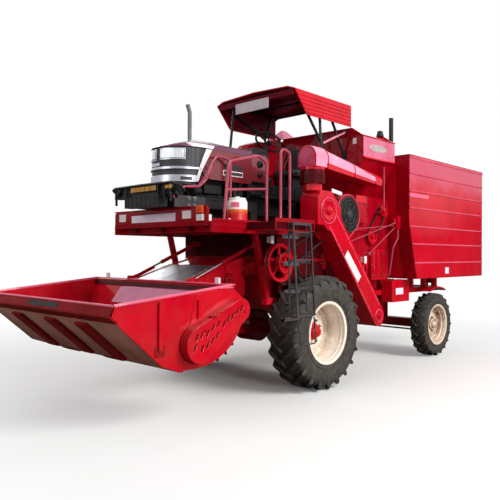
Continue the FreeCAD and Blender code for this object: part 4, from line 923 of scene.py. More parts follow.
# %% Bumper film and lamps
FACE = station_box("front_bumper")[1].x
film = Shape().prism("x", [(-0.5, 1.995), (0.325, 1.995), (0.33, 2.088), (-0.505, 2.08)], FACE,
    FACE + 0.002)
piece("bumper_blank_plate", film, LILAC)
squares = Shape()
for low_y, high_y, low_z, high_z in ((-0.765, -0.625, 2.016, 2.106), (0.445, 0.595, 2.014, 2.102)):
    squares.box(FACE, FACE + 0.003, low_y, high_y, low_z, high_z)
squares.box(FACE, FACE + 0.028, 0.708, 0.806, 1.984, 2.052)
piece("bumper_white_markers", squares, WHITE, 0.002)
marker = Shape().box(FACE, FACE + 0.035, 0.706, 0.806, 2.062, 2.144)
for i in range(5):
    marker.box(FACE + 0.034, FACE + 0.038, 0.712, 0.8, 2.07 + i * 0.014, 2.076 + i * 0.014)
piece("bumper_orange_lamp", marker, ORANGE, 0.004)
edging = Shape().box(FACE - 0.012, FACE + 0.01, -0.86, 0.86, 2.136, 2.146)
edging.box(FACE - 0.012, FACE + 0.01, -0.86, 0.86, 1.934, 1.942)
for y in (-0.8, -0.4, 0.0, 0.4, 0.66):
    edging.bolt((FACE, y, 1.962), AHEAD, 0.018)
piece("bumper_folds", edging, RED_IN_PAINTED_SHADE, 0.003)

# %% Guard bar, gold film and fixings
WEIGHT_FACE = station_box("front_weights")[1].x
guard = Shape().tube([(1.74, -0.6, 2.33), (1.8, -0.6, 2.38), (1.825, -0.52, 2.395), (1.828, 0.0, 2.398),
    (1.825, 0.54, 2.392), (1.79, 0.61, 2.36), (1.7, 0.61, 2.3)], 0.016, 10)
for y in (-0.5, -0.3, 0.3, 0.42, 0.52):
    guard.box(WEIGHT_FACE - 0.02, WEIGHT_FACE + 0.006, y - 0.008, y + 0.008, 2.19, 2.39)
guard.lathe((1.8, -0.47, 2.352), AHEAD, [(0, 0), (0.004, 0.046), (0.03, 0.046), (0.034, 0.038),
    (0.028, 0.034), (0.028, 0)], 24)
guard.lathe((1.8, 0.52, 2.345), AHEAD, [(0, 0), (0.004, 0.055), (0.026, 0.055), (0.03, 0.046),
    (0.024, 0.04), (0.024, 0)], 24)
piece("weight_guard", guard, BLACK, 0.002)
gold = Shape()
for low_y, high_y in ((-0.2, -0.1), (-0.092, -0.02), (-0.012, 0.06), (0.068, 0.16), (0.168, 0.272)):
    gold.box(WEIGHT_FACE + 0.001, WEIGHT_FACE + 0.004, low_y, high_y, 2.325, 2.378)
gold.prism("x", [(0.462, 2.328), (0.55, 2.328), (0.55, 2.316), (0.588, 2.345), (0.55, 2.374), (0.55, 2.362),
    (0.462, 2.362)], WEIGHT_FACE + 0.026, WEIGHT_FACE + 0.028)
piece("guard_gold_film", gold, GOLD)
bracket = Shape().box(1.2, 1.655, 0.362, 0.374, 2.15, 2.285)
piece("chassis_side_plate", bracket, SLATE, 0.002)
heads = Shape()
for x in (1.36, 1.45):
    for z in (2.178, 2.258):
        heads.bolt((x, 0.374, z), LEFT, 0.034, 0.018)
piece("side_plate_bolts", heads, WORN_STEEL)

# %% [markdown]
# ## Header trough
# The trough is folded from sheet. Its edges are rolled round a bar so that they don't tear or cut, three
# channels stiffen the sloped floor from below, and the floor's underside is dull and dusty, with a painted
# reflection of the ground. The upper edges are drawn bright pink, a painted highlight.

# %% Rolled edges, lip and floor ribs
LIP_TOP, LIP_FOOT = Vector((3.0, 0, 1.18)), Vector((3.04, 0, 1.1))
FLOOR_KNEE, FLOOR_END = Vector((2.44, 0, 0.668)), Vector((2.26, 0, 0.54))
REAR_TOP = Vector((1.61, 0, 1.31))
HALF = 1.24


def at(point, y, x=0.0, z=0.0):
    return Vector((point.x + x, y, point.z + z))


edges = Shape()
for s in SIDES:
    edges.tube([at(LIP_TOP, s * (HALF - 0.004), -0.004, 0.004), at(REAR_TOP, s * (HALF - 0.004), 0.0,
        0.006)], 0.015, 10)
edges.tube([at(LIP_TOP, -HALF + 0.01, 0.0, 0.003), at(LIP_TOP, HALF - 0.01, 0.0, 0.003)], 0.012, 10)
edges.flat([at(REAR_TOP, -HALF, -0.012, 0.01), at(REAR_TOP, HALF, -0.012, 0.01)], 0.072, 0.012)
edges.prism("z", [(1.6, 1.255), (1.6, 1.12), (1.66, 1.18), (1.8, 1.222), (1.8, 1.255)], 1.286, 1.3)
# Painted highlight: the rolled edges are drawn in pale pink.
piece("header_rolled_edges", edges, PINK_HIGHLIGHT_AND_LABEL, 0.002, "header")

lip = Shape().prism("y", [(LIP_TOP.x + 0.002, LIP_TOP.z - 0.004), (LIP_FOOT.x + 0.004, LIP_FOOT.z),
    (LIP_FOOT.x - 0.012, LIP_FOOT.z - 0.016), (LIP_TOP.x - 0.004, LIP_TOP.z - 0.01)], -HALF, HALF)
lip.prism("y", [(LIP_FOOT.x + 0.003, LIP_FOOT.z - 0.002), (LIP_FOOT.x - 0.08, LIP_FOOT.z - 0.064),
    (LIP_FOOT.x - 0.074, LIP_FOOT.z - 0.072), (LIP_FOOT.x + 0.006, LIP_FOOT.z - 0.012)], -HALF, HALF)
for i in range(9):
    lip.bolt((LIP_FOOT.x - 0.045, -1.12 + i * 0.28, LIP_FOOT.z - 0.05), (0.6, 0, -0.8), 0.016)
# Painted shade: the lip's front face is a darker red.
piece("header_lip_facing", lip, LIP_AND_RIB_SHADE, 0.002, "header")
plate = Shape().prism("y", [(3.0135, 1.163), (3.0365, 1.116), (3.0335, 1.114), (3.0105, 1.161)],
    -0.235, 0.345)
for s in (0, 1):
    plate.bolt((3.026, -0.215 + s * 0.54, 1.14), (0.9, 0, 0.44), 0.01)
piece("header_blank_plate", plate, IRON, body="header")

panel = Shape()
# The false floor bends back under the auger at the belly
BELLY = Vector((2.49, 0, 0.62))
UNDER = [(2.96, 1.03), (FLOOR_KNEE.x - 0.004, FLOOR_KNEE.z - 0.011),
    (FLOOR_END.x - 0.004, FLOOR_END.z - 0.008), (FLOOR_END.x, FLOOR_END.z - 0.014),
    (BELLY.x, BELLY.z - 0.008), (2.955, 1.018)]
for y0, y1 in ((-1.225, -0.42), (-0.42, 0.4), (0.4, 1.225)):
    panel.prism("y", UNDER, y0 + 0.003, y1 - 0.003)
# Dust and a painted reflection of the ground on the floor's underside.
piece("header_floor_underside", panel, UNDERSIDE_DUST_AND_REFLECTION, 0.001, "header")

ribs = Shape()
BELOW = Vector((0.658, 0, -0.753))
for y in (-0.66, 0.05, 0.63):
    ribs.flat([Vector((2.945, y, 1.008)) + BELOW * 0.022, Vector((2.5, y, 0.62)) + BELOW * 0.016], 0.19,
        0.026, BELOW)
for s in SIDES:
    ribs.prism("y", [(2.25, 0.522), (2.492, 0.609), (2.958, 1.016), (2.962, 1.05), (2.44, 0.69),
        (2.25, 0.56)], *mirror(s, 1.2255, 1.24))
ribs.box(FLOOR_END.x - 0.03, FLOOR_END.x + 0.04, -HALF, HALF, FLOOR_END.z - 0.006, FLOOR_END.z + 0.03)
for y in (0.16, -0.7):
    ribs.prism("y", [(2.3, 0.545), (2.05, 0.545), (2.02, 0.525), (2.06, 0.512), (2.26, 0.512),
        (2.33, 0.54)], y - 0.14, y + 0.14)
# Painted shade: the ribs under the floor are a darker red.
piece("header_floor_ribs", ribs, LIP_AND_RIB_SHADE, 0.004, "header")

# %% Inside of the trough and the deflector's skin
skin = Shape().prism("y", [(1.66, 1.2395), (1.8005, 1.2395), (1.9335, 1.0675), (1.9355, 1.069),
    (1.8015, 1.2415), (1.66, 1.2415)], -0.428, 1.226)
# Painted reflection: the deflector's upward sheet is pale pink-lilac from the sky.
piece("deflector_skin", skin, DEFLECTOR_SKY_REFLECTION, 0.001, "header")
inside = Shape().prism("y", [(1.64, 1.292), (1.648, 1.296), (1.668, 1.245), (1.66, 1.243)], -1.226, 1.226)
inside.bolts([(1.652, y, 1.27) for y in (-1.0, -0.62, -0.2, 0.25, 0.7, 1.05)], (0.93, 0, 0.37), 0.018)
# Painted shadow: the rear angle is a near-black red.
piece("header_rear_angle", inside, DEEP_PAINTED_SHADOW, 0.001, "header")
bits = Shape().box(1.585, 1.61, 0.985, 1.045, 1.322, 1.385)
bits.box(1.585, 1.606, -1.045, -0.985, 1.322, 1.385)
piece("header_width_markers", bits, WHITE, 0.003, "header")

# %% [markdown]
# ## Chain guard and its backing plate
# The auger's chain runs behind a deep pressed guard. Slots let crop dust fall out, and they are cut right
# into the pressing, so a cutter shape is subtracted from the guard.

# %% Cutting holes
def carve(thing, cutter):
    """Takes the cutter's solids out of a piece and keeps the result as its mesh."""
    tool = plain_object("cutter", cutter)
    hole = thing.modifiers.new("holes", "BOOLEAN")
    hole.operation = "DIFFERENCE"
    hole.solver = "EXACT"
    hole.object = tool
    settle(thing)
    bpy.data.objects.remove(tool)
    thing.data.set_sharp_from_angle(angle=math.radians(30))


def slot_outline(x, z, length, wide, lean, steps=6):
    """Rounded slot about (x, z); lean turns it from upright."""
    outline = []
    for end, sweep in ((1, 0), (-1, math.pi)):
        for i in range(steps + 1):
            a, b = spin(sweep + math.pi * i / steps, wide / 2)
            outline.append((a, b + end * (length - wide) / 2))
    c, s = math.cos(lean), math.sin(lean)
    return [(x + a * c + b * s, z - a * s + b * c) for a, b in outline]


# %% Guard
PLATE_FACE = 1.2475  # outer face of the plates bolted to it
END_FACE = 1.2405  # just outside the header's end sheet
def belt_outline(first, second, steps=14):
    """Outline round two discs (x, z, radius), the larger second."""
    (x0, z0, r0), (x1, z1, r1) = first, second
    along = math.atan2(z1 - z0, x1 - x0)
    tip = math.acos(max(-1, min(1, (r0 - r1) / math.hypot(x1 - x0, z1 - z0))))
    small = [spin(along + tip + (math.tau - 2 * tip) * i / steps, r0) for i in range(steps + 1)]
    large = [spin(along - tip + 2 * tip * i / steps, r1) for i in range(steps + 1)]
    return [(x0 + a, z0 + b) for a, b in small] + [(x1 + a, z1 + b) for a, b in large]


guard = Shape().prism("y", belt_outline((1.57, 1.07, 0.115), (2.11, 0.775, 0.175)), 1.248, 1.35)
guard = piece("pressed_chain_guard", guard, RED, body="header", fold=30)
slots, shade = Shape(), Shape()
for x, z in ((2.168, 0.852), (2.105, 0.868), (2.03, 0.88), (1.962, 0.93), (1.895, 0.955), (1.82, 0.952),
        (1.765, 0.995), (1.704, 1.02), (1.64, 1.062), (1.58, 1.088), (2.19, 0.758), (2.1, 0.744),
        (2.03, 0.768), (1.965, 0.806), (1.908, 0.85)):
    slots.prism("y", slot_outline(x, z, 0.07, 0.022, -0.42), 1.342, 1.36)
    shade.prism("y", slot_outline(x, z, 0.068, 0.02, -0.42), 1.3421, 1.3435)
carve(guard, slots)
bevel(guard, 0.006, 50)
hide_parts("chain_guard")
# Painted shade: near-black plates behind the slots.
piece("guard_slot_painted_shade", shade, DEEP_PAINTED_SHADOW, body="header")

back = Shape().prism("y", [(2.262, 0.545), (2.107, 0.538), (1.95, 0.556), (1.84, 0.585), (1.716, 0.645),
    (1.602, 0.727), (1.525, 0.826), (1.47, 0.915), (1.44, 0.985), (1.425, 1.09), (1.47, 1.19), (1.6, 1.28),
    (1.7, 1.29), (2.1, 1.24)], END_FACE, PLATE_FACE)
for x, z in ((1.5, 1.0), (1.6, 0.78), (1.86, 0.7), (2.2, 0.6), (1.66, 1.245), (2.02, 1.18)):
    back.bolt((x, PLATE_FACE, z), LEFT, 0.02)
for s in SIDES:
    back.prism("y", [(2.25, 0.522), (2.492, 0.609), (2.962, 1.018), (2.975, 1.06), (2.44, 0.7),
        (2.25, 0.57)], *mirror(s, 1.2402, 1.244))
piece("chain_guard_back_plate", back, RED, 0.002, "header")
catch = Shape().box(1.915, 1.985, 1.3, 1.352, 1.012, 1.036)
catch.tube([(1.95, 1.345, 1.03), (1.95, 1.356, 1.045), (1.86, 1.356, 1.075)], 0.006, 8)
catch.bolt((2.06, 1.35, 0.905), LEFT, 0.022)
catch.bolt((1.53, 1.35, 1.05), LEFT, 0.022)
catch.prism("y", belt_outline((2.11, 0.775, 0.182), (2.1101, 0.775, 0.182)), PLATE_FACE, 1.262)
piece("guard_catch", catch, RED_IN_PAINTED_SHADE, 0.001, "header")

# %% End sheet stiffeners and the right-hand bearing
stiff = Shape()
for s in SIDES:
    stiff.prism("x", [(s * 1.24, 0.76), (s * 1.262, 0.8), (s * 1.262, 1.185), (s * 1.24, 1.2)],
        2.506, 2.534)
    stiff.box(2.46, 2.58, *mirror(s, END_FACE, PLATE_FACE), 0.7, 0.8)
    for x, z in ((2.485, 0.72), (2.555, 0.72), (2.485, 0.78), (2.555, 0.78)):
        stiff.bolt((x, s * PLATE_FACE, z), (0, s, 0), 0.014)
piece("end_sheet_stiffeners", stiff, RED_IN_PAINTED_SHADE, 0.002, "header")
bearing = Shape().turned((2.12, -END_FACE, 0.8), RIGHTWARD, [(0, 0.085), (0.008, 0.085), (0.012, 0.055),
    (0.045, 0.05), (0.05, 0.03), (0.075, 0.026)], 32)
bearing.bolt_circle((2.12, -1.2485, 0.8), RIGHTWARD, 4, 0.068, 0.018, 0.5)
piece("auger_bearing", bearing, IRON, 0.001, "header")

# %% [markdown]
# ## Auger fingers
# Between its two flights the auger carries fingers that pull the crop back into the feeder's mouth.

# %% Fingers
AUGER = middle("header_auger") - ORIGIN
fingers = Shape()
for i in range(9):
    y = -0.36 + i * 0.09
    for k in range(2):
        a, b = spin(0.7 * i + math.pi * k, 1.0)
        fingers.tube([(AUGER.x + a * 0.08, y, AUGER.z + b * 0.08),
            (AUGER.x + a * 0.185, y, AUGER.z + b * 0.185)], 0.008, 8)
        fingers.turned((AUGER.x + a * 0.086, y, AUGER.z + b * 0.086), (a, 0, b),
            [(0, 0.022), (0.008, 0.018)], 12)
piece("auger_fingers", fingers, WORN_STEEL, body="cross_auger")

# %% [markdown]
# ## Feeder cover and its fastenings
# The feeder is a box of sheet with a pale zinc-coated cover bolted on top, and flanges along its seams.

# %% Feeder cover, flanges and side bosses
FEEDER_FACE = 0.4605  # just outside the feeder's side
FLANGE = 0.468  # middle of the flanges on the feeder's sides
cover = Shape()
TOP_A, TOP_B = Vector((1.6, 0, 1.296)), Vector((1.04, 0, 1.484))
rise = Vector((TOP_A.z - TOP_B.z, 0, TOP_B.x - TOP_A.x)).normalized() * -1
for y0, y1 in ((-0.455, -0.005), (0.005, 0.4)):
    ring = [at(TOP_A, y0), at(TOP_A, y1), at(TOP_B, y1), at(TOP_B, y0)]
    cover.loft([[p + rise * h for p in ring] for h in (0.002, 0.01)])
for i in range(6):
    spot = TOP_A.lerp(TOP_B, (i + 0.5) / 6)
    for y in (-0.43, 0.38):
        cover.bolt(at(spot, y) + rise * 0.01, rise, 0.016)
piece("feeder_cover", cover, STEEL, 0.002, "header")
seams = Shape()
for s in SIDES:
    seams.flat([at(TOP_A, s * FLANGE, 0.02), at(TOP_B, s * FLANGE), Vector((0.66, s * FLANGE, 1.572))],
        0.024, 0.03)
    seams.flat([Vector((1.76, s * FLANGE, 0.752)), Vector((0.66, s * FLANGE, 1.106))], 0.022, 0.028)
    for i in range(7):
        spot = Vector((1.58, s * 0.461, 1.25)).lerp(Vector((0.72, s * 0.461, 1.51)), i / 6)
        seams.bolt(spot, (0, s, 0), 0.018)
    seams.prism("y", [(1.3, 0.98), (1.24, 1.38), (1.28, 1.37), (1.34, 0.97)],
        *mirror(s, FEEDER_FACE, 0.474))
    seams.prism("y", [(0.96, 1.09), (0.93, 1.48), (0.97, 1.475), (1.0, 1.08)],
        *mirror(s, FEEDER_FACE, 0.474))
piece("feeder_flanges", seams, RED, 0.002, "header")
side_pulley = Shape().turned((0.92, FEEDER_FACE, 1.33), LEFT, [(0, 0.075), (0.012, 0.078), (0.022, 0.06),
    (0.032, 0.06), (0.042, 0.078), (0.052, 0.075), (0.052, 0.03), (0.075, 0.028)], 36)
piece("feeder_side_pulley", side_pulley, RED_IN_PAINTED_SHADE, 0.001, "header")

# %% Jackets on the balance stays
jackets = Shape()
for s in SIDES:
    y = s * 0.548
    eye, far = Vector((1.55, y, 1.33)), Vector((1.18, y, 1.483))
    jackets.tube([eye + (far - eye) * 0.1, eye + (far - eye) * 0.86], 0.022, 12)
    jackets.turned(eye + (far - eye) * 0.1, eye - far, [(-0.02, 0.027), (0.012, 0.027), (0.02, 0.015)], 12)
piece("stay_jackets", jackets, RED_IN_PAINTED_SHADE, 0.001, "balance_rods")

# %% [markdown]
# ## Drives on the left side
# Power goes down the left side by V-belts. The large pulley is cast with spokes, and a smaller ring stands
# in front of it. Belts are closed loops laid round two pulleys at a time.

# %% Pulleys
def pulley(shape, x, z, radius, y, wide, spokes=0, hub=0.04):
    """V pulley on a shaft along Y; y is its inner face."""
    lip = min(0.018, wide * 0.3)
    if spokes:
        rim = radius - 0.04
        shape.lathe((x, y, z), LEFT, [(0, rim), (0, radius), (lip * 0.6, radius),
            (wide / 2, radius - 0.018), (wide - lip * 0.6, radius), (wide, radius), (wide, rim)], 56)
        for a, b in [spin(math.tau * i / spokes + 0.3, 1.0) for i in range(spokes)]:
            shape.flat([(x + a * hub * 0.8, y + wide / 2, z + b * hub * 0.8),
                (x + a * (rim + 0.008), y + wide / 2, z + b * (rim + 0.008))], 0.034, 0.018, LEFT)
        shape.turned((x, y, z), LEFT, [(-0.01, hub), (wide + 0.012, hub), (wide + 0.016, hub * 0.5),
            (wide + 0.03, hub * 0.45)], 28)
    else:
        shape.turned((x, y, z), LEFT, [(0, radius), (lip * 0.6, radius), (wide / 2, radius - 0.016),
            (wide - lip * 0.6, radius), (wide, radius), (wide, radius * 0.8), (wide * 0.6, radius * 0.76),
            (wide * 0.6, hub * 1.1), (wide, hub), (wide + 0.02, hub * 0.6)], 40)
    return shape


wheels = Shape()
pulley(wheels, 0.495, 1.528, 0.228, 0.872, 0.056, 5, 0.052)
wheels.hoop((0.495, 0.93, 1.528), LEFT, 0.222, 0.007, 56)
pulley(wheels, 0.48, 1.526, 0.118, 0.945, 0.04, 4, 0.03)
wheels.hoop((0.48, 0.987, 1.526), LEFT, 0.114, 0.006, 40)
for x, z, radius, y, wide in ((-1.87, 2.29, 0.095, 0.856, 0.05), (-1.56, 1.9, 0.12, 0.856, 0.05),
        (-0.29, 1.9, 0.085, 0.905, 0.04), (0.06, 1.24, 0.07, 0.86, 0.044)):
    pulley(wheels, x, z, radius, y, wide)
wheels = piece("belt_pulleys", wheels, RED, 0.0012)
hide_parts("drive_pulleys")


# %% Belts
def band_loop(shape, first, second, y, wide, thick=0.011):
    (xa, za, ra), (xb, zb, rb) = sorted((first, second), key=lambda d: d[2])
    inner = belt_outline((xa, za, ra), (xb, zb, rb), 18)
    outer = belt_outline((xa, za, ra + thick), (xb, zb, rb + thick), 18)
    rings = []
    for (a, b), (c, d) in zip(inner, outer):
        rings.append([(a, y, b), (c, y - wide * 0.15, d), (c, y + wide * 1.15, d), (a, y + wide, b)])
    return shape.loft(rings, closed=True)


belts = Shape()
band_loop(belts, (0.48, 1.526, 0.1), (-0.29, 1.9, 0.07), 0.956, 0.018)
band_loop(belts, (0.495, 1.528, 0.212), (0.06, 1.24, 0.056), 0.89, 0.022)
band_loop(belts, (-1.87, 2.29, 0.08), (-1.56, 1.9, 0.106), 0.872, 0.018)
piece("drive_belts", belts, BELT, fold=25)

# %% [markdown]
# ## Side sheets
# The side of the body is lined with doors and covers that bolt over the drum and the sieves.

# %% Covers, doors and seams on the left side
DOOR_FACE = 0.9005  # just outside the doors over the sieves
FACE_Y = 0.851
covers = Shape()
HATCHES = ((-0.42, 0.15, 1.58, 1.92), (-0.42, 0.15, 1.16, 1.54), (-1.0, -0.5, 1.32, 1.7))
# Painted shade: a near-black sheet and hatch covers where the deck shades the side.
hatches = Shape().box(0.16, 0.457, 0.8515, 0.8565, 1.0, 1.925)
for x0, x1, z0, z1 in HATCHES:
    hatches.box(x0, x1, FACE_Y, FACE_Y + 0.01, z0, z1)
piece("left_side_hatches_painted_shade", hatches, DEEP_PAINTED_SHADOW, 0.003)
for x in (-1.72, -1.6):
    covers.prism("z", trapeze(x, 0.022, 0.01, DOOR_FACE, 0.914), 1.3, 1.675)
for x in (-1.04, -1.12, -1.2, -1.28, -1.4, -1.48):
    covers.prism("z", trapeze(x, 0.018, 0.01, FACE_Y, FACE_Y + 0.012), 1.3, 1.66)
covers.box(-1.905, -1.525, DOOR_FACE, 0.908, 1.672, 1.702)
covers.box(-1.905, -1.525, DOOR_FACE, 0.908, 1.27, 1.296)
covers.box(-1.395, -1.125, DOOR_FACE, 0.9065, 2.36, 2.459)
covers.box(-1.5, 0.3, FACE_Y, FACE_Y + 0.012, 1.96, 1.976)
piece("left_side_covers", covers, RED, 0.003)
knobs = Shape()
for x0, x1, z0, z1 in HATCHES:
    for x in (x0 + 0.025, (x0 + x1) / 2, x1 - 0.025):
        for z in (z0 + 0.025, z1 - 0.025):
            knobs.bolt((x, FACE_Y + 0.01, z), LEFT, 0.018)
knobs.bolts([(x, DOOR_FACE, z) for z in (1.33, 1.48, 1.64) for x in (-1.87, -1.56)], LEFT, 0.018)
knobs.bolts([(x, 0.9065, z) for z in (2.1, 2.22, 2.34, 2.43) for x in (-1.36, -1.16)], LEFT, 0.018)
piece("cover_bolts", knobs, WORN_STEEL)
labels = Shape()
for x, z, wide, high in ((0.64, 1.8, 0.05, 0.095), (-1.34, 1.56, 0.06, 0.1)):
    labels.box(x - wide / 2, x + wide / 2, FACE_Y + 0.072, FACE_Y + 0.074, z - high / 2, z + high / 2)
    labels.box(x - wide * 0.3, x + wide * 0.3, FACE_Y, FACE_Y + 0.073, z - high * 0.4, z + high * 0.4)
piece("side_blank_labels", labels, WHITE, 0.001)
# Painted shade: a near-black sheet across the body's front under the deck.
front = Shape().box(0.461, 0.466, -0.845, 0.845, 1.6, 1.975)
for y in (-0.6, -0.2, 0.2, 0.6):
    front.box(0.461, 0.48, y - 0.02, y + 0.02, 1.62, 1.96)
piece("body_front_painted_shade", front, DEEP_PAINTED_SHADOW, 0.002)

# %% [markdown]
# ## Fan screen
# Air for the cleaning fan is drawn through a punched black screen. A guard in the outline of a drop runs
# round it and its belt, its edge drawn paler as a painted highlight.

# %% Screen wires and drop-shaped edge
FAN = Vector((-0.786, 0.0, 2.165))
wire = Shape()
for radius in (0.07, 0.13, 0.185, 0.232):
    wire.hoop((FAN.x, 1.026, FAN.z), LEFT, radius, 0.0045, 40, 6)
for a, b in around(8, 1.0):
    wire.tube([(FAN.x + a * 0.05, 1.029, FAN.z + b * 0.05), (FAN.x + a * 0.238, 1.029, FAN.z + b * 0.238)],
        0.004, 6)
wire.turned((FAN.x, 1.0215, FAN.z), LEFT, [(0, 0.055), (0.014, 0.05), (0.02, 0.03)], 28)
piece("fan_screen_wires", wire, SLATE)
edge = Shape()
drop = [spin(math.radians(turn), 0.262) for turn in steps_between(-38, 218, 30)]
path = [Vector((FAN.x + a, 1.012, FAN.z + b)) for a, b in drop] + [Vector((FAN.x + 0.01, 1.012, 1.835))]
edge.sweep(path, around(8, 0.007), LEFT, True)
piece("fan_drop_edge", edge, EDGE_HIGHLIGHT_RED)
shroud = Shape().prism("y", [(p.x, p.z) for p in path], 0.853, 1.006)
piece("fan_drop_shroud", shroud, RED_IN_PAINTED_SHADE, 0.003)

# %% [markdown]
# ## Grain elevator
# The leg is a closed box of sheet with flanges down both edges. Its head carries a pressed ring round the
# upper shaft, and its foot a round cleaning cap.

# %% Elevator trim
LEG_FACE = 1.1455
FOOT, HEAD = Vector((-1.33, 0, 0.79)), Vector((-0.157, 0, 2.172))
trim = Shape()
run = (HEAD - FOOT).normalized()
normal = Vector((-run.z, 0, run.x))
for s in SIDES:
    trim.flat([FOOT + normal * s * 0.108 + run * 0.1 + Vector((0, 1.138, 0)),
        HEAD + normal * s * 0.108 - run * 0.16 + Vector((0, 1.138, 0))], 0.016, 0.016, LEFT)
trim.hoop((HEAD.x, LEG_FACE + 0.003, HEAD.z), LEFT, 0.158, 0.009, 48)
trim.hoop((FOOT.x, LEG_FACE + 0.002, FOOT.z), LEFT, 0.085, 0.008, 36)
# Painted highlight: the flanges and rings are drawn in a paler red.
piece("elevator_edges", trim, EDGE_HIGHLIGHT_RED)
press = Shape().turned((HEAD.x, LEG_FACE - 0.002, HEAD.z), LEFT,
    [(0, 0.15), (0.01, 0.14), (0.014, 0.11), (0.008, 0.096), (0.008, 0.06), (0.026, 0.05), (0.034, 0.03)],
    44)
press.bolt_circle((HEAD.x, LEG_FACE + 0.011, HEAD.z), LEFT, 6, 0.125, 0.018)
press.turned((FOOT.x, LEG_FACE - 0.002, FOOT.z), LEFT, [(0, 0.076), (0.01, 0.07), (0.012, 0.034),
    (0.03, 0.028)], 32)
for i in range(9):
    spot = FOOT + run * (0.16 + i * 0.155)
    for s in SIDES:
        press.bolt(spot + normal * s * 0.108 + Vector((0, 1.146, 0)), LEFT, 0.014)
piece("elevator_pressings", press, RED, 0.001)
strip = Shape().prism("y", [(-0.576, 1.687), (-0.503, 1.603), (-0.811, 1.263), (-0.886, 1.345)], LEG_FACE,
    LEG_FACE + 0.002)
piece("elevator_blank_strip", strip, WHITE)

# %% [markdown]
# ## Control rods
# Thin rods and a hand-wheel beside the straw hood set the sieves and the fan from the ground.

# %% Rods, hub, hand-wheel and drain pipe
rods = Shape()
HUB = Vector((-2.035, 1.0, 2.13))
for start, end, radius in (((-0.918, 0.935, 1.803), (-2.02, 1.02, 2.112), 0.008),
        ((-1.078, 0.935, 1.983), (-2.0, 0.985, 2.066), 0.007), ((-1.42, 0.935, 1.647), (-2.0, 1.0, 2.03),
        0.008), ((-1.7, 1.0, 2.275), (-1.715, 0.99, 2.9), 0.011),
        ((-1.7, 1.0, 2.25), (-1.7, 0.85, 2.25), 0.012)):
    rods.tube([start, end], radius, 8)
rods.tube([(-2.045, 1.0, 2.12), (-2.05, 1.03, 2.02), (-2.045, 1.03, 1.88), (-1.93, 1.02, 1.74),
    (-1.925, 0.96, 1.34), (-1.925, 0.905, 1.3)], 0.012, 10, 0.05)
for x, y, z in ((-0.918, 0.935, 1.803), (-1.078, 0.935, 1.983), (-1.42, 0.935, 1.647)):
    rods.turned((x, 0.853, z), LEFT, [(0, 0.02), (0.095, 0.016)], 14)
    rods.turned((x, 0.925, z), LEFT, [(0, 0.026), (0.018, 0.026)], 14)
piece("control_rods", rods, ROSE_SHEEN_RED)
hubs = Shape().turned(HUB + Vector((0, -0.02, 0)), LEFT, [(0, 0.05), (0.022, 0.05), (0.028, 0.034),
    (0.075, 0.03), (0.08, 0.018)], 28)
hubs.flat([HUB + Vector((0, 0.03, 0)), HUB + Vector((0.02, 0.03, -0.11))], 0.035, 0.012, LEFT)
hubs.flat([HUB + Vector((0, 0.045, 0)), HUB + Vector((0.03, 0.045, 0.075))], 0.03, 0.012, LEFT)
hubs.box(-2.068, -2.03, 0.93, 1.06, 2.02, 2.21)
hubs.turned((-1.7, 0.985, 2.255), LEFT, [(0, 0.018), (0.03, 0.016)], 18)
hubs.hoop((-1.7, 1.006, 2.255), LEFT, 0.068, 0.008, 32)
for a, b in [spin(math.tau * i / 3 + 0.4, 0.068) for i in range(3)]:
    hubs.tube([(-1.7, 1.006, 2.255), (-1.7 + a, 1.006, 2.255 + b)], 0.006, 6)
piece("control_hub", hubs, RED, 0.001)

# %% [markdown]
# ## Deck, ladder and railing trim
# The deck is chequered plate in an angle frame. Behind each round rung of the ladder lies a flat tread.

# %% Chequer pattern, deck frame and treads
DECK = 1.98


def chequer(shape, x0, x1, y0, y1, z, pitch=0.05):
    """Raised bars in two directions, as rolled tread plate has."""
    row = 0
    y = y0 + pitch / 2
    while y < y1 - pitch / 3:
        x = x0 + pitch / 2
        k = row
        while x < x1 - pitch / 3:
            lean = 0.011 if k % 2 else -0.011
            shape.prism("z", [(x - 0.012, y - lean - 0.002), (x, y - 0.004), (x + 0.012, y + lean - 0.002),
                (x + 0.012, y + lean + 0.002), (x, y + 0.004), (x - 0.012, y - lean + 0.002)], z,
                z + 0.0025)
            x += pitch
            k += 1
        y += pitch
        row += 1
    return shape


plates = Shape()
chequer(plates, 0.45, 1.56, 0.4, 0.84, DECK)
chequer(plates, 0.4, 1.0, 0.91, 1.29, DECK)
piece("deck_chequer", plates, RED)
frame_bars = Shape().flat([(1.05, 1.326, 2.0), (0.37, 1.326, 2.0)], 0.014, 0.045)
frame_bars.flat([(1.05, 1.326, 1.895), (0.37, 1.326, 1.895)], 0.012, 0.012)
for x in (0.374, 0.7, 1.046):
    frame_bars.flat([(x, 1.326, 2.02), (x, 1.326, 1.89)], 0.012, 0.012, AHEAD)
frame_bars.flat([(1.05, 0.905, 1.895), (1.05, 1.312, 1.895)], 0.012, 0.012)
frame_bars.flat([(1.57, 0.902, 1.992), (0.25, 0.902, 1.992)], 0.01, 0.03)
frame_bars.flat([(1.57, 0.902, 1.925), (0.25, 0.902, 1.925)], 0.01, 0.014)
piece("deck_edge_angles", frame_bars, RED_IN_PAINTED_SHADE, 0.001)
# Painted shade: the frame under the deck is a near-black red.
under = Shape()
for x in (0.62, 0.92, 1.27):
    under.box(x - 0.02, x + 0.02, -0.86, 0.86, 1.885, 1.9295)
for y in (-0.5, 0.0, 0.5):
    under.box(0.47, 1.56, y - 0.02, y + 0.02, 1.88, 1.9295)
under.box(0.365, 1.05, 1.3185, 1.3215, 1.892, 2.006)
under.box(1.0502, 1.0532, 0.905, 1.318, 1.892, 1.985)
piece("deck_underside_frame", under, DEEP_PAINTED_SHADOW, 0.002)

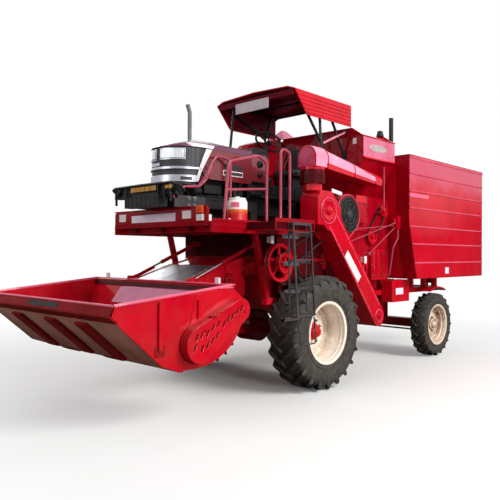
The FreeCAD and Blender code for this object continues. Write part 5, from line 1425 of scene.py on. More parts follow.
treads = Shape()
RUNGS = [1.88 - 0.306 * n for n in range(4)]
for n, z in enumerate(RUNGS):
    y = 1.335 + 0.05 * n / 3
    treads.box(0.535, 0.815, y - 0.115, y - 0.015, z - 0.036, z - 0.031)
    treads.box(0.535, 0.815, y - 0.115, y - 0.11, z - 0.072, z - 0.036)
    chequer(treads, 0.54, 0.81, y - 0.11, y - 0.02, z - 0.031, 0.034)
    for x in (0.537, 0.813):
        treads.flat([(x, y - 0.105, z - 0.045), (x, y + 0.045, z - 0.02)], 0.006, 0.026)
piece("ladder_treads", treads, GREY, 0.001)

# %% [markdown]
# ## Straw hood
# The hood is folded from wide sheets that overlap in horizontal laps, and each lap is drawn as a bright line,
# a painted highlight. Near the top the sheets turn pink, a painted reflection of the sky.

# %% Side sheets and laps
HOOD_FRONT, HOOD_KNEE, HOOD_SIDE = -2.07, 2.13, 1.2
STRAW_REAR = -4.696  # where the side sheets end
HOOD_SKIN = 1.2005  # just outside the hood's sheet
LAPS = [1.272, 1.515, 1.796, 2.055, 2.33, 2.585, 2.84, 3.098]


def hood_front(z):
    """Station of the hood's front edge at height z: upright, then raked under the knee."""
    return HOOD_FRONT - 0.23 * max(0.0, HOOD_KNEE - z) / (HOOD_KNEE - 1.27)


def fold_line(low, high):
    heights = [low] + ([HOOD_KNEE] if low < HOOD_KNEE < high else []) + [high]
    return [(hood_front(z) - 0.004, z) for z in heights]


for side, s in (("left", 1), ("right", -1)):
    sheets, laps = Shape(), Shape()
    for low, high in zip(LAPS, LAPS[1:]):
        outline = fold_line(low + 0.004, high - 0.004) + [(STRAW_REAR, high - 0.004),
            (STRAW_REAR, low + 0.004)]
        sheets.prism("y", outline, s * (HOOD_SIDE + 0.0005), s * (HOOD_SIDE + 0.0035))
    for z in LAPS[1:-1]:
        x0 = hood_front(z) - 0.004
        laps.prism("x", [(s * HOOD_SKIN, z - 0.018), (s * 1.2125, z - 0.014), (s * 1.214, z + 0.0),
            (s * HOOD_SKIN, z + 0.012)], STRAW_REAR, x0)
    laps.prism("x", [(s * HOOD_SKIN, 3.06), (s * 1.212, 3.064), (s * 1.214, 3.098), (s * HOOD_SKIN, 3.099)],
        STRAW_REAR, HOOD_FRONT - 0.002)
    piece(side + "_hood_sheets", sheets, HOOD_SKY_SHEEN, 0.001)
    piece(side + "_hood_laps", laps, EDGE_HIGHLIGHT_RED, 0.002)
edge = Shape().box(-4.7, HOOD_FRONT, -1.2, 1.2, 3.1005, 3.104)
for s in SIDES:
    edge.flat([(HOOD_FRONT - 0.01, s * 1.192, 3.106), (-4.69, s * 1.192, 3.106)], 0.03, 0.012)
edge.flat([(HOOD_FRONT - 0.012, -1.19, 3.106), (HOOD_FRONT - 0.012, 1.19, 3.106)], 0.03, 0.012)
for x in (-2.7, -3.35, -4.0):
    edge.prism("y", trapeze(x, 0.03, 0.018, 3.104, 3.12), -1.19, 1.19)
piece("hood_roof_sheet", edge, RED_IN_PAINTED_SHADE, 0.002)
# Painted shade: the hood's front faces are a darker red.
face = Shape()
RAKE_FOOT = hood_front(1.275)
for s in SIDES:
    a, b = mirror(s, 0.985, 1.197)
    face.box(HOOD_FRONT + 0.0005, HOOD_FRONT + 0.003, a, b, HOOD_KNEE, 3.095)
    face.loft([[(HOOD_FRONT + out, a, HOOD_KNEE), (HOOD_FRONT + out, b, HOOD_KNEE),
        (RAKE_FOOT + out, b, 1.275), (RAKE_FOOT + out, a, 1.275)] for out in (0.001, 0.004)])
piece("hood_front_sheets", face, RED_IN_PAINTED_SHADE)
# Painted highlight: a pale pink strip along the hood's side.
marks = Shape().box(-2.668, -2.085, 1.204, 1.205, 2.49, 2.545)
piece("hood_painted_highlight_strip", marks, PINK_HIGHLIGHT_AND_LABEL)
plate = Shape().box(-3.37, -3.245, 1.204, 1.2055, 1.335, 1.435)
plate.box(-2.262, -2.045, 1.0005, 1.002, 1.04, 1.135)
piece("hood_blank_plates", plate, LILAC)
flap = Shape().box(-4.722, -4.702, -1.18, 1.18, 2.6, 3.09)
for y in (-1.15, -0.58, 0.0, 0.58, 1.15):
    flap.box(-4.735, -4.7225, y - 0.02, y + 0.02, 2.62, 3.07)
for y0 in (-1.1, -0.55, 0.02, 0.59):
    flap.hoop((-4.712, y0 + 0.26, 2.6), AHEAD, 0.028, 0.006, 16, 6)
piece("straw_rear_flap", flap, RED, 0.002)

# %% [markdown]
# ## Grain tank
# The upright sides of the tank stand proud of its sloping hopper, with a folded lip between them.

# %% Tank panels, lip and blank oval
trim, slope, panel = Shape(), Shape(), Shape()
for s in SIDES:
    panel.box(-2.046, -1.204, *mirror(s, 0.9705, 0.9735), 3.004, 3.284)
    slope.prism("x", [(s * 0.968, 2.986), (s * 0.703, 2.466), (s * 0.706, 2.464), (s * 0.9715, 2.985)],
        -2.046, -1.204)
    trim.prism("x", [(s * 0.97, 2.978), (s * 0.992, 2.974), (s * 0.994, 2.984), (s * 0.9735, 3.006)],
        -2.05, -1.2)
    trim.prism("x", [(s * 0.96, 3.284), (s * 0.98, 3.28), (s * 0.984, 3.292), (s * 0.962, 3.304)],
        -2.05, -1.2)
for y in (-0.6, -0.2, 0.2, 0.6):
    trim.prism("z", [(x, y) for y, x in trapeze(y, 0.016, 0.008, -1.199, -1.187)], 2.99, 3.28)
# Painted light on the pale pink upright sides; painted shade on the darker sloping hopper below.
piece("tank_side_panels", panel, TANK_SIDE_PAINTED_LIGHT, 0.001)
piece("tank_slopes", slope, RED_IN_PAINTED_SHADE)
piece("tank_lips", trim, RED, 0.0015)
# Painted shade: the tank's front sheet is a darker red.
front = Shape().prism("x", [(0.698, 2.466), (0.968, 2.988), (0.968, 3.288), (0.78, 3.416), (-0.78, 3.416),
    (-0.968, 3.288), (-0.968, 2.988), (-0.698, 2.466)], -1.1995, -1.1965)
piece("tank_front_sheet", front, RED_IN_PAINTED_SHADE)
oval = [(-1.575 + 0.235 * a, 3.15 + 0.05 * b) for a, b in around(36, 1.0)]
oval = Shape().prism("y", oval, 0.9736, 0.975)
piece("tank_blank_oval", oval, OVAL)
square = Shape().box(-1.1964, -1.195, 0.8, 0.86, 3.185, 3.265)
square.box(-0.6, -0.43, 0.7206, 0.722, 3.525, 3.58)
square.prism("y", [(-0.56, 2.5), (-0.79, 2.47), (-0.79, 2.42), (-0.56, 2.45)], 0.9012, 0.9026)
piece("upper_blank_labels", square, WHITE)
lid = Shape()
PEAK = Vector((-1.58, -0.81, 3.651))
for x in (-1.8, -1.36):
    for y in (-0.98, -0.64):
        lid.flat([(x * 0.995 - 0.008, y, 3.3), (x * 0.995 - 0.008, y, 3.47)], 0.02, 0.02, AHEAD)
lid.loft([[PEAK + Vector((x * a, y * b, z)) for a, b in ((-1, -1), (1, -1), (1, 1), (-1, 1))]
    for x, y, z in ((0.222, 0.172, -0.177), (0.042, 0.022, 0))])
piece("tank_cover_skin", lid, TANK_SIDE_PAINTED_LIGHT, 0.002)

# %% [markdown]
# ## Unloading spout
# The trough has an arched roof that faces the sky, drawn pale pink as a painted reflection of it, and a
# pleated sleeve closes the gap between the swinging elbow and the fixed riser.

# %% Spout skin, rings and sleeve
SWIVEL = Vector((-0.04, 0.98, 0.0))


def arch_ring(x, half, spring, out, first, last, steps=10):
    """Part of the trough's arch at station x, standing out by `out`; angles in degrees."""
    arc = [spin(math.radians(turn), half + out) for turn in steps_between(first, last, steps)]
    return [Vector((x, SWIVEL.y + a, spring + b)) for a, b in arc]


def trough_at(share):
    """Station, floor, half width and spring line at a share of the trough's length."""
    return -0.155 - 1.37 * share, 2.702 - 0.102 * share, 0.13 - 0.048 * share, 2.832 - 0.168 * share


def collar(station, floor, half, spring, out):
    """Arch at a station with upright legs down to the floor."""
    legs = [Vector((station, SWIVEL.y + side * (half + out), floor)) for side in (1, -1)]
    return [legs[0]] + arch_ring(station, half, spring, out, 0, 180, 16) + [legs[1]]


def arch_sheet(shape, first, last, out, start, end):
    """Sheet along the trough between two shares of its length."""
    rings = []
    for t in (start, end):
        x, floor, half, spring = trough_at(t)
        drop = Vector((0, 0, -0.45 * (spring - floor)))
        outer = arch_ring(x, half, spring, out + 0.003, first, last)
        inner = arch_ring(x, half, spring, out, first, last)
        outer, inner = [outer[0] + drop] + outer, [inner[0] + drop] + inner
        rings.append(outer + inner[::-1])
    return shape.loft(rings)


# Painted reflection of the sky on the trough's roof sheet.
bright = Shape()
arch_sheet(bright, 0, 168, 0.0005, 0.0, 0.9)
rings = []
for x in (-0.152, 0.072):
    outer = arch_ring(x, 0.14, 2.83, 0.0036, 12, 168)
    rings.append(outer + arch_ring(x, 0.14, 2.83, 0.0005, 12, 168)[::-1])
bright.loft(rings)
bright.box(-0.15, 0.068, SWIVEL.y + 0.1406, SWIVEL.y + 0.144, 2.712, 2.858)
piece("spout_roof_sheet", bright, SPOUT_SKY_REFLECTION, body="spout")
# Painted light: the elbow's end sheet is a sunlit pink.
elbow = Shape()
face = arch_ring(0.0752, 0.128, 2.83, 0, 0, 180, 20) + [Vector((0.0752, SWIVEL.y - 0.128, 2.712)),
    Vector((0.0752, SWIVEL.y + 0.128, 2.712))]
elbow.loft([face, [p + Vector((0.0022, 0, 0)) for p in face]])
piece("elbow_end_sheet", elbow, ELBOW_PAINTED_LIGHT, body="spout")
joints = Shape()
for t in (0.02, 0.48, 0.88):
    x, floor, half, spring = trough_at(t)
    joints.loft([collar(station, floor + 0.001, half, spring, 0.01) + collar(station, floor + 0.001, half,
        spring, 0.0006)[::-1] for station in (x, x - 0.014)])
joints.hoop((0.0755, SWIVEL.y, 2.83), AHEAD, 0.118, 0.004, 40, 6)
piece("spout_joint_rings", joints, RED, body="spout")
# Painted shade: the sleeve is a near-black red.
sleeve = Shape()
rings = []
for i in range(96):
    angle = math.tau * i / 96
    ripple = 0.0015 * math.cos(angle * 16)
    low, high = 0.158 + ripple * 1.6, 0.15 + ripple * 0.4
    ring = [(*spin(angle, radius), z) for radius, z in ((low, 2.5), (low, 2.59), (high, 2.668),
        (0.142, 2.668), (0.142, 2.5))]
    rings.append([SWIVEL + Vector(spot) for spot in ring])
sleeve.loft(rings, closed=True)
piece("riser_sleeve", sleeve, DEEP_PAINTED_SHADOW)

# %% [markdown]
# ## Canopy
# The roof is one folded sheet with ribs pressed along its skirts, lined inside with maroon sheets as painted
# shade. A blank plate hangs from its front edge.

# %% Skirts, lining and hanging plate
ROOF_LOW, ROOF_HIGH = station_box("canopy_roof")
EAVE, HEM = ROOF_HIGH.z - 0.07, ROOF_LOW.z
skirt = Shape()


def roof_front(z):
    """Station of the raked front edge of a skirt at height z."""
    return -0.29 * (EAVE - z) / (EAVE - HEM) - 0.006


for s in SIDES:
    outline = [(roof_front(HEM + 0.004), HEM + 0.004), (roof_front(EAVE - 0.002), EAVE - 0.002),
        (-1.266, EAVE - 0.002), (-1.266, HEM + 0.004)]
    skirt.prism("y", outline, s * 0.7203, s * 0.7222)
    for i in range(5):
        z = HEM + 0.035 + i * (EAVE - HEM - 0.05) / 5
        skirt.prism("x", [(s * 0.7205, z - 0.014), (s * 0.7285, z - 0.006), (s * 0.729, z + 0.004),
            (s * 0.7205, z + 0.01)], -1.262, roof_front(z) - 0.006)
    skirt.tube([(roof_front(HEM), s * 0.722, HEM + 0.003), (-1.268, s * 0.722, HEM + 0.003)], 0.008, 8)
piece("canopy_skirts", skirt, RED, 0.001)
# Painted shade: maroon sheets line the skirts and the roof's underside.
underside_shade_sheet = Shape()
TOP = ROOF_HIGH.z
for s in SIDES:
    underside_shade_sheet.prism("y", [(roof_front(HEM + 0.006) - 0.004, HEM + 0.006),
        (roof_front(EAVE - 0.012) - 0.004, EAVE - 0.012), (-1.262, EAVE - 0.012), (-1.262, HEM + 0.006)],
        s * 0.7048, s * 0.703)
    underside_shade_sheet.prism("x", [(s * 0.704, EAVE - 0.01), (s * 0.598, EAVE + 0.029), (s * 0.598, EAVE + 0.026),
        (s * 0.704, EAVE - 0.013)], -1.262, -0.04)
    underside_shade_sheet.prism("x", [(s * 0.598, EAVE + 0.029), (0, TOP - 0.016), (0, TOP - 0.019),
        (s * 0.598, EAVE + 0.026)], -1.262, -0.04)
underside_shade_sheet.box(-0.0185, -0.016, -0.678, 0.678, 3.681, EAVE + 0.004)
underside_shade_sheet.prism("y", [(-0.0345, 3.681), (-0.0345, EAVE + 0.004), (-0.037, EAVE + 0.004), (-0.037, 3.681)],
    -0.678, 0.678)
piece("canopy_underside_painted_shade", underside_shade_sheet, CANOPY_UNDERSIDE_SHADE)
board = Shape().box(-0.0135, -0.0105, -0.346, 0.261, 3.578, 3.707)
board.box(-0.015, -0.0136, -0.352, 0.267, 3.572, 3.713)
piece("canopy_blank_plate", board, BOARD)
# Painted sheen: the brace tube is a pale pink.
brace = Shape().tube([(-0.69, 0.652, 3.144), (-1.15, 0.687, 3.354)], 0.0165, 12)
piece("canopy_stay_sleeve", brace, BRACE_SHEEN_PINK)

# %% [markdown]
# ## Driver's place
# The seat is foam under vinyl. Its two cushions are blown up by a short cloth simulation from slimmer
# blocks, which gives them a crown and sides that pull in between the corners, and then the seams are laid on.

# %% Seat cushions
def block_mesh(name, low, high, voxel):
    """Rounded block between two corners, remeshed evenly for the cloth."""
    thing = plain_object(name, Shape().box(low.x, high.x, low.y, high.y, low.z, high.z))
    work = bmesh.new()
    work.from_mesh(thing.data)
    bmesh.ops.bevel(work, geom=list(work.edges), offset=0.022, segments=4, affect="EDGES")
    work.to_mesh(thing.data)
    work.free()
    remesh = thing.modifiers.new("even", "REMESH")
    remesh.mode = "VOXEL"
    remesh.voxel_size = voxel
    settle(thing)
    return thing


FOAM_PRESSURE, FOAM_FRAMES = 4, 20


def inflate(thing, low, high, travel):
    """Cloth under pressure; no point moves further than `travel` or leaves the cushion's room."""
    start = [v.co.copy() for v in thing.data.vertices]
    cloth = thing.modifiers.new("foam", "CLOTH")
    cloth.settings.use_pressure = True
    cloth.settings.uniform_pressure_force = FOAM_PRESSURE
    cloth.settings.effector_weights.gravity = 0
    cloth.point_cache.frame_start, cloth.point_cache.frame_end = 1, FOAM_FRAMES
    scene = bpy.context.scene
    for frame_number in range(1, FOAM_FRAMES + 1):
        scene.frame_set(frame_number)
    settle(thing)
    scene.frame_set(1)
    for vertex, first in zip(thing.data.vertices, start):
        move = vertex.co - first
        if move.length > travel:
            move *= travel / move.length
        spot = first + move
        for axis in range(3):
            spot[axis] = min(max(spot[axis], low[axis]), high[axis])
        vertex.co = spot


def cushion(name, low, high, slim, travel):
    low, high = Vector(low), Vector(high)
    gap = Vector(slim)
    thing = block_mesh(name, low + gap, high - gap, 0.006)
    inflate(thing, low + ORIGIN, high + ORIGIN, travel)
    finer = thing.modifiers.new("smooth", "SUBSURF")
    finer.levels = finer.render_levels = 1
    settle(thing)
    thing.data.materials.append(VINYL)
    for face in thing.data.polygons:
        face.use_smooth = True
    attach(thing, "chassis")
    print(name, len(thing.data.vertices), "points")
    return thing


seat = cushion("seat_cushion", (-0.984, -0.228, 2.742), (-0.592, 0.228, 2.832), (0.012, 0.012, 0.014),
    0.024)
back = cushion("seat_back_cushion", (-1.068, -0.218, 2.765), (-0.988, 0.218, 3.228), (0.012, 0.012, 0.012),
    0.022)
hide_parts("driver_seat")
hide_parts("driver_seat")


# %% Seat piping, shell and levers
def skin_spot(thing, start, aim):
    """Where a ray from start along aim meets the piece, in stations."""
    start = Vector(start)
    hit, place = thing.ray_cast(start + ORIGIN, aim)[:2]
    return place - ORIGIN if hit else start


piping = Shape()
for y in (-0.115, 0.0, 0.115):
    piping.tube([skin_spot(seat, (x, y, 2.95), (0, 0, -1)) for x in steps_between(-0.955, -0.625, 14)],
        0.0028, 6)
    piping.tube([skin_spot(back, (-0.8, y, z), (-1, 0, 0)) for z in steps_between(2.8, 3.19, 14)],
        0.0028, 6)
piece("seat_piping", piping, VINYL)
shell = Shape().prism("y", [(-0.99, 2.7395), (-0.6, 2.7395), (-0.6, 2.745), (-0.985, 2.745)], -0.2, 0.2)
shell.prism("y", [(-1.076, 2.8), (-1.07, 2.8), (-1.07, 3.17), (-1.076, 3.17)], -0.17, 0.17)
for s in SIDES:
    shell.flat([(-0.95, s * 0.205, 2.745), (-1.055, s * 0.212, 2.765), (-1.078, s * 0.212, 2.9)], 0.012,
        0.03, LEFT)
piece("seat_shell", shell, BLACK, 0.001)
DIAL_FACE = Vector((-0.88, 0, 0.47))  # the way the dials look
controls = Shape().prism("y", [(-0.06, 2.935), (-0.02, 3.01), (0.2, 3.018), (0.26, 2.996), (0.29, 2.955),
    (0.385, 2.95), (0.385, 2.931), (-0.04, 2.931)], -0.235, 0.235)
for y in (-0.15, 0.0, 0.15):
    controls.turned((-0.046, y, 2.978), DIAL_FACE, [(0, 0.042), (0.01, 0.042), (0.012, 0.036),
        (0.006, 0.034)], 28)
for y, lean in ((-0.3, 0.02), (-0.36, -0.03), (0.27, 0.03), (0.33, 0.0), (0.39, -0.04)):
    top = Vector((-0.3 + lean, y, 3.04))
    controls.tube([(-0.18, y, 2.372), (-0.2, y, 2.8), top], 0.008, 8, 0.05)
    controls.lathe(top - Vector((0, 0, 0.01)), UP, [(0, 0), (0, 0.01), (0.015, 0.021), (0.032, 0.021),
        (0.042, 0.01), (0.044, 0)], 16)
for y in (-0.33, -0.25, 0.25):
    controls.flat([(0.16, y, 2.372), (0.1, y, 2.46), (0.02, y, 2.475)], 0.02, 0.008, LEFT)
    controls.box(-0.03, 0.03, y - 0.035, y + 0.035, 2.47, 2.482)
for s in SIDES:
    controls.box(-0.52, 0.28, *mirror(s, 0.19, 0.425), 2.3705, 2.376)
controls.tube([(-0.12, 0.31, 2.93), (-0.16, 0.33, 3.1), (-0.19, 0.34, 3.13)], 0.007, 8, 0.04)
controls.tube([(-0.11, 0.28, 2.7), (-0.13, 0.315, 2.88)], 0.006, 8)
piece("dash_and_levers", controls, BLACK, 0.0015)
cowl = Shape().box(-0.3, 0.3, -0.256, -0.2505, 2.57, 2.92)
cowl.prism("y", [(-0.038, 2.57), (0.3, 2.57), (0.3, 2.925), (0.02, 2.925), (-0.038, 2.86)], 0.2505, 0.256)
piece("dash_cowl_panels", cowl, CANDY, 0.002)
dials = Shape()
for y in (-0.15, 0.0, 0.15):
    dials.turned(Vector((-0.046, y, 2.978)) + DIAL_FACE * 0.0062, DIAL_FACE,
        [(0, 0.033), (0.002, 0.033)], 28)
dials.lathe((-0.19, 0.34, 3.13), (-0.5, 0, 0.85), [(0, 0), (0, 0.01), (0.015, 0.017), (0.035, 0.014),
    (0.04, 0)], 14)
piece("dial_faces", dials, WHITE)
sockets = Shape()
for x, z, size in ((-0.2, 2.6, 0.05), (-0.02, 2.66, 0.04), (-0.02, 2.8, 0.05)):
    sockets.turned((x + 0.16, 0.2555, z), LEFT, [(0, size), (0.02, size * 0.9), (0.03, size * 0.4),
        (0.05, size * 0.3)], 18)
sockets.flat([(-1.0, 0.2, 2.42), (0.28, 0.2, 2.42)], 0.03, 0.05, LEFT)
sockets.turned((-0.4, 0.191, 2.3), LEFT, [(0, 0.11), (0.03, 0.1), (0.05, 0.06), (0.09, 0.05)], 30)
sockets.bolt_circle((-0.4, 0.216, 2.3), LEFT, 8, 0.085, 0.02)
for s in SIDES:
    sockets.bolt_circle((-0.78, s * 0.56, 2.33), (0, s, 0), 10, 0.125, 0.024)
    for x in (-0.66, -0.56, -0.46, -0.6):
        sockets.box(x - 0.012, x + 0.012, *mirror(s, 0.19, 0.204), 2.16, 2.54)
piece("gearbox_ribs_and_bolts", sockets, IRON, 0.001)

# %% [markdown]
# ## Engine
# Under the hood lies the tractor's own engine. Its side shows ribs, a row of injection pipes, a filter, the
# fan belt and a radiator at the front.

# %% Engine, radiator and exhaust
FRAME_SIDE = 0.3605  # the tractor frame's side
BLOCK_SIDE = 0.2155  # the engine block's side
engine = Shape()
for i in range(7):
    x = 0.5 + i * 0.115
    for s in SIDES:
        engine.box(x - 0.01, x + 0.01, *mirror(s, BLOCK_SIDE, 0.229), 2.31, 2.62)
for s in SIDES:
    engine.box(0.43, 1.32, *mirror(s, BLOCK_SIDE, 0.238), 2.625, 2.65)
    engine.box(0.43, 1.32, *mirror(s, BLOCK_SIDE, 0.24), 2.29, 2.318)
engine.turned((0.62, 0.262, 2.33), UP, [(0, 0.03), (0.01, 0.04), (0.12, 0.04), (0.13, 0.034)], 20)
engine.turned((0.75, 0.266, 2.34), UP, [(0, 0.028), (0.01, 0.036), (0.14, 0.036), (0.15, 0.03)], 20)
engine.box(0.86, 1.14, 0.232, 0.292, 2.35, 2.45)
for i in range(4):
    x = 0.89 + i * 0.072
    engine.tube([(x, 0.262, 2.45), (x, 0.262, 2.53), (x - 0.05, 0.24, 2.64), (x - 0.05, 0.232, 2.7)],
        0.0045, 6, 0.03)
    engine.turned((x, 0.262, 2.445), UP, [(0, 0.012), (0.02, 0.012)], 6)
engine.turned((1.2, 0.265, 2.36), AHEAD, [(0, 0.052), (0.09, 0.052), (0.1, 0.04)], 24)
engine.turned((0.52, -0.262, 2.38), AHEAD, [(0, 0.04), (0.22, 0.04)], 20)
engine.box(0.48, 1.25, -0.29, -0.2405, 2.46, 2.53)
for i in range(4):
    engine.box(0.53 + i * 0.2, 0.59 + i * 0.2, -0.2405, -BLOCK_SIDE, 2.46, 2.54)
engine.turned((1.331, 0, 2.42), AHEAD, [(0, 0.095), (0.012, 0.095), (0.018, 0.08), (0.026, 0.095),
    (0.036, 0.095), (0.036, 0.03), (0.05, 0.03)], 32)
engine.box(1.405, 1.47, -0.225, 0.225, 2.29, 2.8)
engine.box(1.398, 1.477, -0.235, 0.235, 2.8, 2.835)
for i in range(22):
    y = -0.21 + i * 0.02
    engine.box(1.3985, 1.405, y - 0.002, y + 0.002, 2.31, 2.79)
engine.tube([(1.34, 0.13, 2.6), (1.38, 0.15, 2.66), (1.401, 0.15, 2.76)], 0.022, 12, 0.04)
engine.tube([(1.34, -0.13, 2.32), (1.38, -0.15, 2.33), (1.401, -0.15, 2.35)], 0.022, 12)
piece("engine_parts", engine, IRON, 0.001)
sides = Shape()
for s in SIDES:
    for x in (0.34, 0.38, 1.2, 1.26, 1.62):
        for z in (2.19, 2.25):
            sides.bolt((x, s * FRAME_SIDE, z), (0, s, 0), 0.022)
    sides.box(0.3, 1.655, *mirror(s, FRAME_SIDE, 0.368), 2.262, 2.284)
    sides.box(0.3, 1.655, *mirror(s, FRAME_SIDE, 0.368), 2.16, 2.18)
sides.tube([(0.45, 0.335, 2.3), (0.8, 0.335, 2.315), (1.15, 0.335, 2.3)], 0.009, 8, 0.1)
sides.tube([(0.45, 0.31, 2.3), (0.9, 0.31, 2.31), (1.3, 0.31, 2.3)], 0.007, 8, 0.1)
piece("tractor_frame_rails", sides, BLACK, 0.001)
stack = Shape().lathe((0.76, -0.425, 2.5), UP, [(0, 0.0275), (0, 0.055), (0.02, 0.066), (0.44, 0.066),
    (0.46, 0.055), (0.46, 0.0275)], 32)
for z in (2.58, 2.88):
    stack.lathe((0.76, -0.425, z), UP, [(0, 0.0665), (0, 0.07), (0.02, 0.07), (0.02, 0.0665)], 32)
piece("exhaust_silencer", stack, IRON, 0.001)

# %% [markdown]
# ## Water jug
# The jug is nearly a cylinder, with a small shoulder and a wide flat cap.

# %% Jug, cap and blank label
JUG_LOW, JUG_HIGH = station_box("water_jug")
JUG_FOOT = Vector(((JUG_LOW.x + JUG_HIGH.x) / 2, (JUG_LOW.y + JUG_HIGH.y) / 2, JUG_LOW.z))
can = Shape().turned(JUG_FOOT, UP, [(0, 0.108), (0.006, 0.115), (0.1, 0.1165), (0.104, 0.113),
    (0.11, 0.1165), (0.15, 0.1165), (0.154, 0.113), (0.16, 0.1165), (0.236, 0.114), (0.252, 0.106),
    (0.256, 0.097)], 56)
jug = piece("moulded_jug", can, JUG, 0.002)
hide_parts("water_jug")
cap = Shape().turned(JUG_FOOT + Vector((0, 0, 0.2565)), UP, [(0, 0.096), (0.004, 0.099), (0.02, 0.098),
    (0.024, 0.092), (0.024, 0.045), (0.026, 0.03), (0.04, 0.028), (0.043, 0.02)], 48)
piece("jug_cap", cap, WHITE, 0.0015)
sticker = Shape()
angles = [math.radians(turn) for turn in steps_between(8, 56, 10)]
band = ((0.1182, 0.172), (0.1182, 0.228), (0.1174, 0.228), (0.1174, 0.172))
sticker.loft([[JUG_FOOT + Vector((*spin(turn, radius), z)) for radius, z in band] for turn in angles])
piece("jug_blank_label", sticker, PINK_HIGHLIGHT_AND_LABEL)
spout_tap = Shape().turned(JUG_FOOT + Vector((0.1165, 0, 0.035)), AHEAD,
    [(-0.003, 0.014), (0.018, 0.012), (0.022, 0.008)], 16)
piece("jug_tap", spout_tap, WHITE, 0.001)

# %% [markdown]
# ## Guard tubes beside the nose
# A bent tube on each side carries twigs and wire over the hood.

# %% Nose guards
tubes = Shape()
for s in SIDES:
    y = 0.425 * s
    tubes.tube([(1.64, s * 0.375, 2.285), (1.58, y, 2.375), (1.34, y, 2.395), (1.235, y, 2.48),
        (1.14, y, 2.7), (1.06, y, 2.775), (0.9, y, 2.77), (0.84, y, 2.7), (0.84, y, 2.3),
        (0.84, s * 0.372, 2.25)], 0.015, 12, 0.06)
    tubes.prism("y", [(1.34, 2.38), (1.24, 2.455), (1.16, 2.64), (1.175, 2.65), (1.27, 2.49),
        (1.352, 2.42)], y - 0.004, y + 0.004)
    for x, z in ((0.84, 2.25), (1.64, 2.27)):
        tubes.box(x - 0.03, x + 0.03, *mirror(s, FRAME_SIDE, 0.374), z - 0.02, z + 0.02)
piece("nose_guard_tubes", tubes, ROSE_SHEEN_RED, 0.001)

# %% [markdown]
# ## Right side
# The right side is in nobody's way, so the long belts of the drum, walkers and cleaning shoe run there in the
# open. Doors over the drum open upwards.

# %% Right-hand belts, doors and bolts
RIGHT = -0.851
drive = Shape()
RIGHT_DRIVE = ((0.2, 1.55, 0.2, 4), (-0.62, 1.62, 0.15, 4), (-1.02, 2.26, 0.11, 0), (-1.62, 2.2, 0.17, 4),
    (-1.86, 1.48, 0.12, 0), (-0.95, 1.2, 0.09, 0))
for x, z, radius, spokes in RIGHT_DRIVE:
    rim = radius - 0.03
    outline = [(0, rim), (0, radius), (0.01, radius), (0.022, radius - 0.016), (0.034, radius),
        (0.044, radius), (0.044, rim)]
    if spokes:
        drive.lathe((x, RIGHT - 0.03, z), RIGHTWARD, outline, 44)
        for a, b in [spin(math.tau * i / spokes + 0.5, 1.0) for i in range(spokes)]:
            drive.flat([(x + a * 0.03, RIGHT - 0.052, z + b * 0.03),
                (x + a * (rim + 0.006), RIGHT - 0.052, z + b * (rim + 0.006))], 0.03, 0.016, LEFT)
    else:
        drive.lathe((x, RIGHT - 0.03, z), RIGHTWARD, [(0, 0)] + outline[1:6]
            + [(0.034, rim), (0.026, 0)], 36)
    drive.turned((x, RIGHT, z), RIGHTWARD, [(0, 0.06), (0.012, 0.056), (0.016, 0.036), (0.082, 0.036),
        (0.086, 0.018), (0.11, 0.016)], 28)
piece("right_pulleys", drive, RED_IN_PAINTED_SHADE, 0.001)
loops = Shape()
for first, second in ((0, 1), (1, 2), (2, 3), (3, 4), (1, 5)):
    discs = [(x, z, radius - 0.016) for x, z, radius, spokes in (RIGHT_DRIVE[first], RIGHT_DRIVE[second])]
    lane = RIGHT - 0.058 + (0.02 if (first, second) in ((1, 2), (3, 4)) else 0.0)
    band_loop(loops, *discs, lane, 0.014, 0.01)
piece("right_belts", loops, BELT, fold=25)
doors = Shape()
for x0, x1, z0, z1 in ((-0.4, 0.42, 1.8, 1.92), (-1.4, -1.14, 1.34, 1.92), (-2.02, -1.95, 1.3, 2.42),
        (-0.52, 0.42, 1.02, 1.26), (-2.0, -1.2, 2.42, 2.455)):
    doors.box(x0, x1, RIGHT - 0.009, RIGHT, z0, z1)
for x in (-0.2, 0.3, -1.33, -1.2):
    doors.turned((x - 0.03, RIGHT - 0.012, 1.918), AHEAD, [(0, 0.009), (0.06, 0.009)], 10)
piece("right_side_doors", doors, RED, 0.003)
heads = Shape()
spots = [(x, z) for x in (-0.38, -0.14, 0.1, 0.4) for z in (1.82, 1.9, 1.04, 1.24)]
spots += [(x, z) for x in (-1.38, -1.16) for z in (1.36, 1.62, 1.9)]
heads.bolts([(x, RIGHT - 0.009, z) for x, z in spots], RIGHTWARD, 0.018)
heads.bolts([(-1.985, RIGHT - 0.009, 1.34 + i * 0.13) for i in range(9)], RIGHTWARD, 0.016)
piece("right_door_bolts", heads, WORN_STEEL)

# %% [markdown]
# ## Top of the body, frame and rear
# A hatch and two grab handles lie on the flat roof over the drum. The frame is bolted, and two lamps and a
# blank plate hang at its rear.

